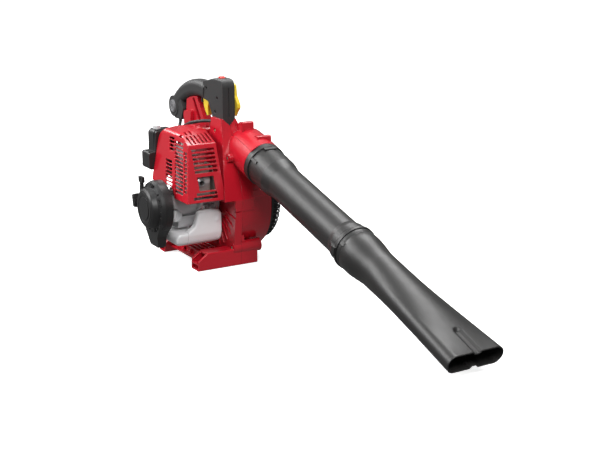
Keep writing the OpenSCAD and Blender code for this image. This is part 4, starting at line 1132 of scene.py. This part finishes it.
@dataclass(frozen=True)
class NozzleForm:
    """The nozzle: a socket, a taper, and a loft that flattens toward a grooved mouth.

    Its sizes are millimetres, and its places are distances along the tube.
    """

    mouth_half: float = 54.5
    mouth_tall: float = 16.0
    radius: float = 35.0
    wall: float = 2.4
    reach: float = 668.0
    taper_at: float = 345.0
    loft_at: float = 400.0
    loft_rings: int = 150
    flat_from: float = 408.0
    lift: float = 0.6
    lift_from: float = 420.0
    groove: float = 4.2
    groove_long: float = 52.0
    groove_half: tuple[float, float] = (3.2, 8.6)
    coupling: float = 40.4
    sides: int = 192
    rim: float = 0.5

    def loft_ring(self, length: float, inset: float) -> list[Vector]:
        """Makes one cross-section of the part that turns from a circle to a flat oval.

        Args:
            length: The distance along the tube, in millimetres.
            inset: How far inside the outer skin, in millimetres.

        Returns:
            The ring's points.
        """
        done = (length - self.flat_from) / (self.reach - self.flat_from)
        flat = min(1.0, max(0.0, done))
        lift = self.lift * ease(length, self.lift_from, self.reach)
        short = max(0.0, self.reach - self.groove_long - length)
        tall = self.mouth_tall - inset
        run = self.mouth_half - self.mouth_tall
        points = []
        for k in range(self.sides):
            angle = 360.0 * k / self.sides
            aside, down = self.oval(angle, run, tall)
            turn, radius = math.radians(angle), self.radius - inset
            aside += (radius * math.sin(turn) - aside) * (1.0 - flat)
            down += (radius * math.cos(turn) - down) * (1.0 - flat)
            dip = self.groove * (1.0 - ease(math.hypot(aside, short), *self.groove_half))
            down -= math.copysign(dip, down) + lift
            points.append(along_tube(-down * MM, aside * MM, length * MM))
        return points

    @staticmethod
    def oval(angle: float, run: float, tall: float) -> tuple[float, float]:
        """Walks round a flat oval: straight for 120 degrees, round for 60, and so on.

        Args:
            angle: Where on the walk, in degrees.
            run: Half the length of a straight.
            tall: The radius of the ends.

        Returns:
            Sideways and downward distance from the middle.
        """
        if angle <= 60.0 or angle >= 300.0:
            part = angle if angle <= 60.0 else angle - 360.0
            return run * part / 60.0, tall
        if angle < 120.0:
            turn = math.radians((angle - 60.0) * 3.0)
            return run + tall * math.sin(turn), tall * math.cos(turn)
        if angle <= 240.0:
            return run * (180.0 - angle) / 60.0, -tall
        turn = math.radians((angle - 240.0) * 3.0)
        return -run - tall * math.sin(turn), -tall * math.cos(turn)

    def round_ring(self, radius: float, length: float) -> list[Vector]:
        """Returns a round ring of the socket or the taper, in millimetres."""
        polar = [(radius * math.cos(a), radius * math.sin(a)) for a in ring_angles(self.sides)]
        return [along_tube(-up * MM, aside * MM, length * MM) for up, aside in polar]

    def mesh(self) -> Mesh:
        """Builds the closed wall of the nozzle.

        Returns:
            The vertices and faces of its outer and inner skin.
        """
        full = self.coupling
        socket = [(36.95, 323.4), (37.3, 323.0), (40.0, 323.0), (full, 323.4), (full, 332.0)]
        socket += [(40.1, 332.5), (40.1, 333.5), (full, 334.0), (full, self.taper_at)]
        long, slim = self.loft_at - self.taper_at, full - self.radius
        places = [self.taper_at + long * i / 24 for i in range(1, 24)]
        taper = [(full - slim * ease(at, self.taper_at, self.loft_at), at) for at in places]
        bore = [(32.6, 392.0), (34.6, 376.0), (36.9, 362.5), (36.95, 361.0)]
        long, last = self.reach - self.loft_at, self.reach - self.rim
        steps = [self.loft_at + long * i / self.loft_rings for i in range(self.loft_rings)]
        rows = [self.round_ring(*ring) for ring in socket + taper]
        rows += [self.loft_ring(at, 0.0) for at in steps]
        rows += [self.loft_ring(last, 0.0), self.loft_ring(self.reach, self.rim)]
        rows += [self.loft_ring(self.reach, self.wall - self.rim), self.loft_ring(last, self.wall)]
        rows += [self.loft_ring(at, self.wall) for at in reversed(steps)]
        rows += [self.round_ring(*ring) for ring in bore]
        rows.append(rows[0])
        return grid_mesh(rows)


@dataclass
class Blower(Assembly):
    """Tube and nozzle."""

    form: NozzleForm = NozzleForm()
    ribs_at: float = 329.5 * MM
    rib_turns: tuple[int, ...] = (60, 180, 300)

    def build(self) -> None:
        """Dresses the tube, and builds the nozzle with its coupling ribs."""
        self.dress("blower_tube")
        rib = slab((-6 * MM, -4 * MM, 39 * MM), (6 * MM, 4 * MM, 41.2 * MM), 0.6 * MM)
        middle = Matrix.Translation(along_tube(0.0, 0.0, self.ribs_at))
        parts = [self.form.mesh()]
        for turn in self.rib_turns:
            turned = Matrix.Rotation(math.radians(turn), 4, "X")
            parts.append(moved(rib, middle @ Matrix.Rotation(PITCH, 4, "Y") @ turned))
        self.stand_in("blower_nozzle", "nozzle_skin", joined(parts))


class Lamp(Enum):
    """The kinds of lamp."""

    DISC = "AREA"
    SKY = "SUN"


@dataclass(frozen=True)
class Light:
    """A soft light: a disc as wide as its size in metres, or a sky of so many degrees."""

    name: str
    place: Point
    target: Point
    power: float
    size: float
    lamp: Lamp = Lamp.DISC

    def switch_on(self) -> None:
        """Adds the light to the scene."""
        data = bpy.data.lights.new(self.name, self.lamp.value)
        if self.lamp is Lamp.DISC:
            data.shape = "DISK"
            data.size = self.size
        else:
            data.angle = math.radians(self.size)
        data.energy = self.power
        lamp = bpy.data.objects.new(self.name, data)
        lamp.location = self.place
        along = Vector(self.target) - Vector(self.place)
        lamp.rotation_euler = along.to_track_quat("-Z", "Y").to_euler()
        bpy.context.scene.collection.objects.link(lamp)


@dataclass(frozen=True)
class Studio:
    """White floor and surround, soft lights and the camera."""

    camera_place: Point = (1.9774, -1.0614, 0.6783)
    azimuth: float = math.radians(59.217)
    elevation: float = math.radians(15.058)
    lens: float = 68.76
    sensor: float = 36.0
    sight: float = 60.0
    sky_glow: float = 0.22
    floor_glow: float = 0.76
    wall_glow: float = 1.05
    reach: float = 14.0
    wall_heights: tuple[float, float] = (-7.0, 9.0)
    lights: tuple[Light, ...] = (
        Light("sky", (-0.9, -0.4, 3.0), (0.0, 0.0, 0.0), 0.6, 70.0, Lamp.SKY),
        Light("key", (-0.7, -1.6, 1.35), (-0.1, -0.1, 0.22), 38.0, 1.2),
        Light("front_fill", (1.7, -0.5, 1.6), (-0.05, -0.1, 0.3), 36.0, 1.1),
        Light("rim_left", (-1.7, -0.7, 1.3), (-0.1, -0.1, 0.25), 16.0, 0.7),
        Light("top_box", (-0.35, 0.75, 1.75), (0.35, 0.0, 0.1), 24.0, 1.0),
    )

    def build(self) -> None:
        """Sets up the world, floor, lights and camera."""
        self.world()
        self.floor()
        self.surround()
        for light in self.lights:
            light.switch_on()
        self.camera()
        bpy.context.scene.view_settings.view_transform = "Standard"

    def world(self) -> None:
        """Makes the dim sky that fills the shadows."""
        world = bpy.data.worlds.new("studio")
        world.use_nodes = True
        background = world.node_tree.nodes["Background"]
        background.inputs["Color"].default_value = (*WHITE, 1.0)
        background.inputs["Strength"].default_value = self.sky_glow
        bpy.context.scene.world = world

    def floor(self) -> None:
        """Lays the pale floor, a hair below the feet."""
        ring = self.ring(-0.2 * MM)
        self.backdrop(
            "floor",
            (ring, [tuple(range(len(ring)))]),
            base_color=(0.9, 0.9, 0.9),
            roughness=0.9,
            emission_strength=self.floor_glow,
        )

    def surround(self) -> None:
        """Stands a white wall round the floor."""
        self.backdrop(
            "surround",
            grid_mesh([self.ring(height) for height in self.wall_heights]),
            base_color=(0.0, 0.0, 0.0),
            emission_strength=self.wall_glow,
        )

    def ring(self, height: float) -> list[Vector]:
        """Returns a wide ring of points at a height."""
        points = [(math.cos(a), math.sin(a)) for a in ring_angles(64)]
        return [Vector((self.reach * x, self.reach * y, height)) for x, y in points]

    @staticmethod
    def backdrop(name: str, mesh: Mesh, **values: object) -> None:
        """Makes a glowing part of the stage that neither mirrors nor lights the machine.

        Args:
            name: The name of the piece and its material.
            mesh: Its vertices and faces.
            **values: Inputs of its surface shader.
        """
        paint = bpy.data.materials.new(name)
        Graph(paint).surface(emission_color=WHITE, **values)
        piece = make(name, mesh, smooth=False)
        piece.data.materials.append(paint)
        piece.visible_glossy = False
        piece.visible_diffuse = False

    def camera(self) -> None:
        """Sets the camera."""
        data = bpy.data.cameras.new("camera")
        data.lens = self.lens
        data.sensor_width = self.sensor
        data.clip_end = self.sight
        camera = bpy.data.objects.new("camera", data)
        camera.location = self.camera_place
        camera.rotation_euler = (math.pi / 2 - self.elevation, 0.0, self.azimuth)
        bpy.context.scene.collection.objects.link(camera)
        bpy.context.scene.camera = camera


def main() -> None:
    """Builds the scene."""
    logging.basicConfig(level=logging.INFO)
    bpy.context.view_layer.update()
    nodes = frame["nodes"]
    slots = {part["node"]: part["material_slot"] for part in frame["record"]["subparts"]}
    bodies = frame["record"]["behaviour"]["bodies"]
    palette = Palette({})
    for kind in (Housing, Engine, Fuel, Starter, Handle, Blower):
        kind(nodes, slots, bodies, palette).build()
    Studio().build()


if __name__ == "__main__":
    main()
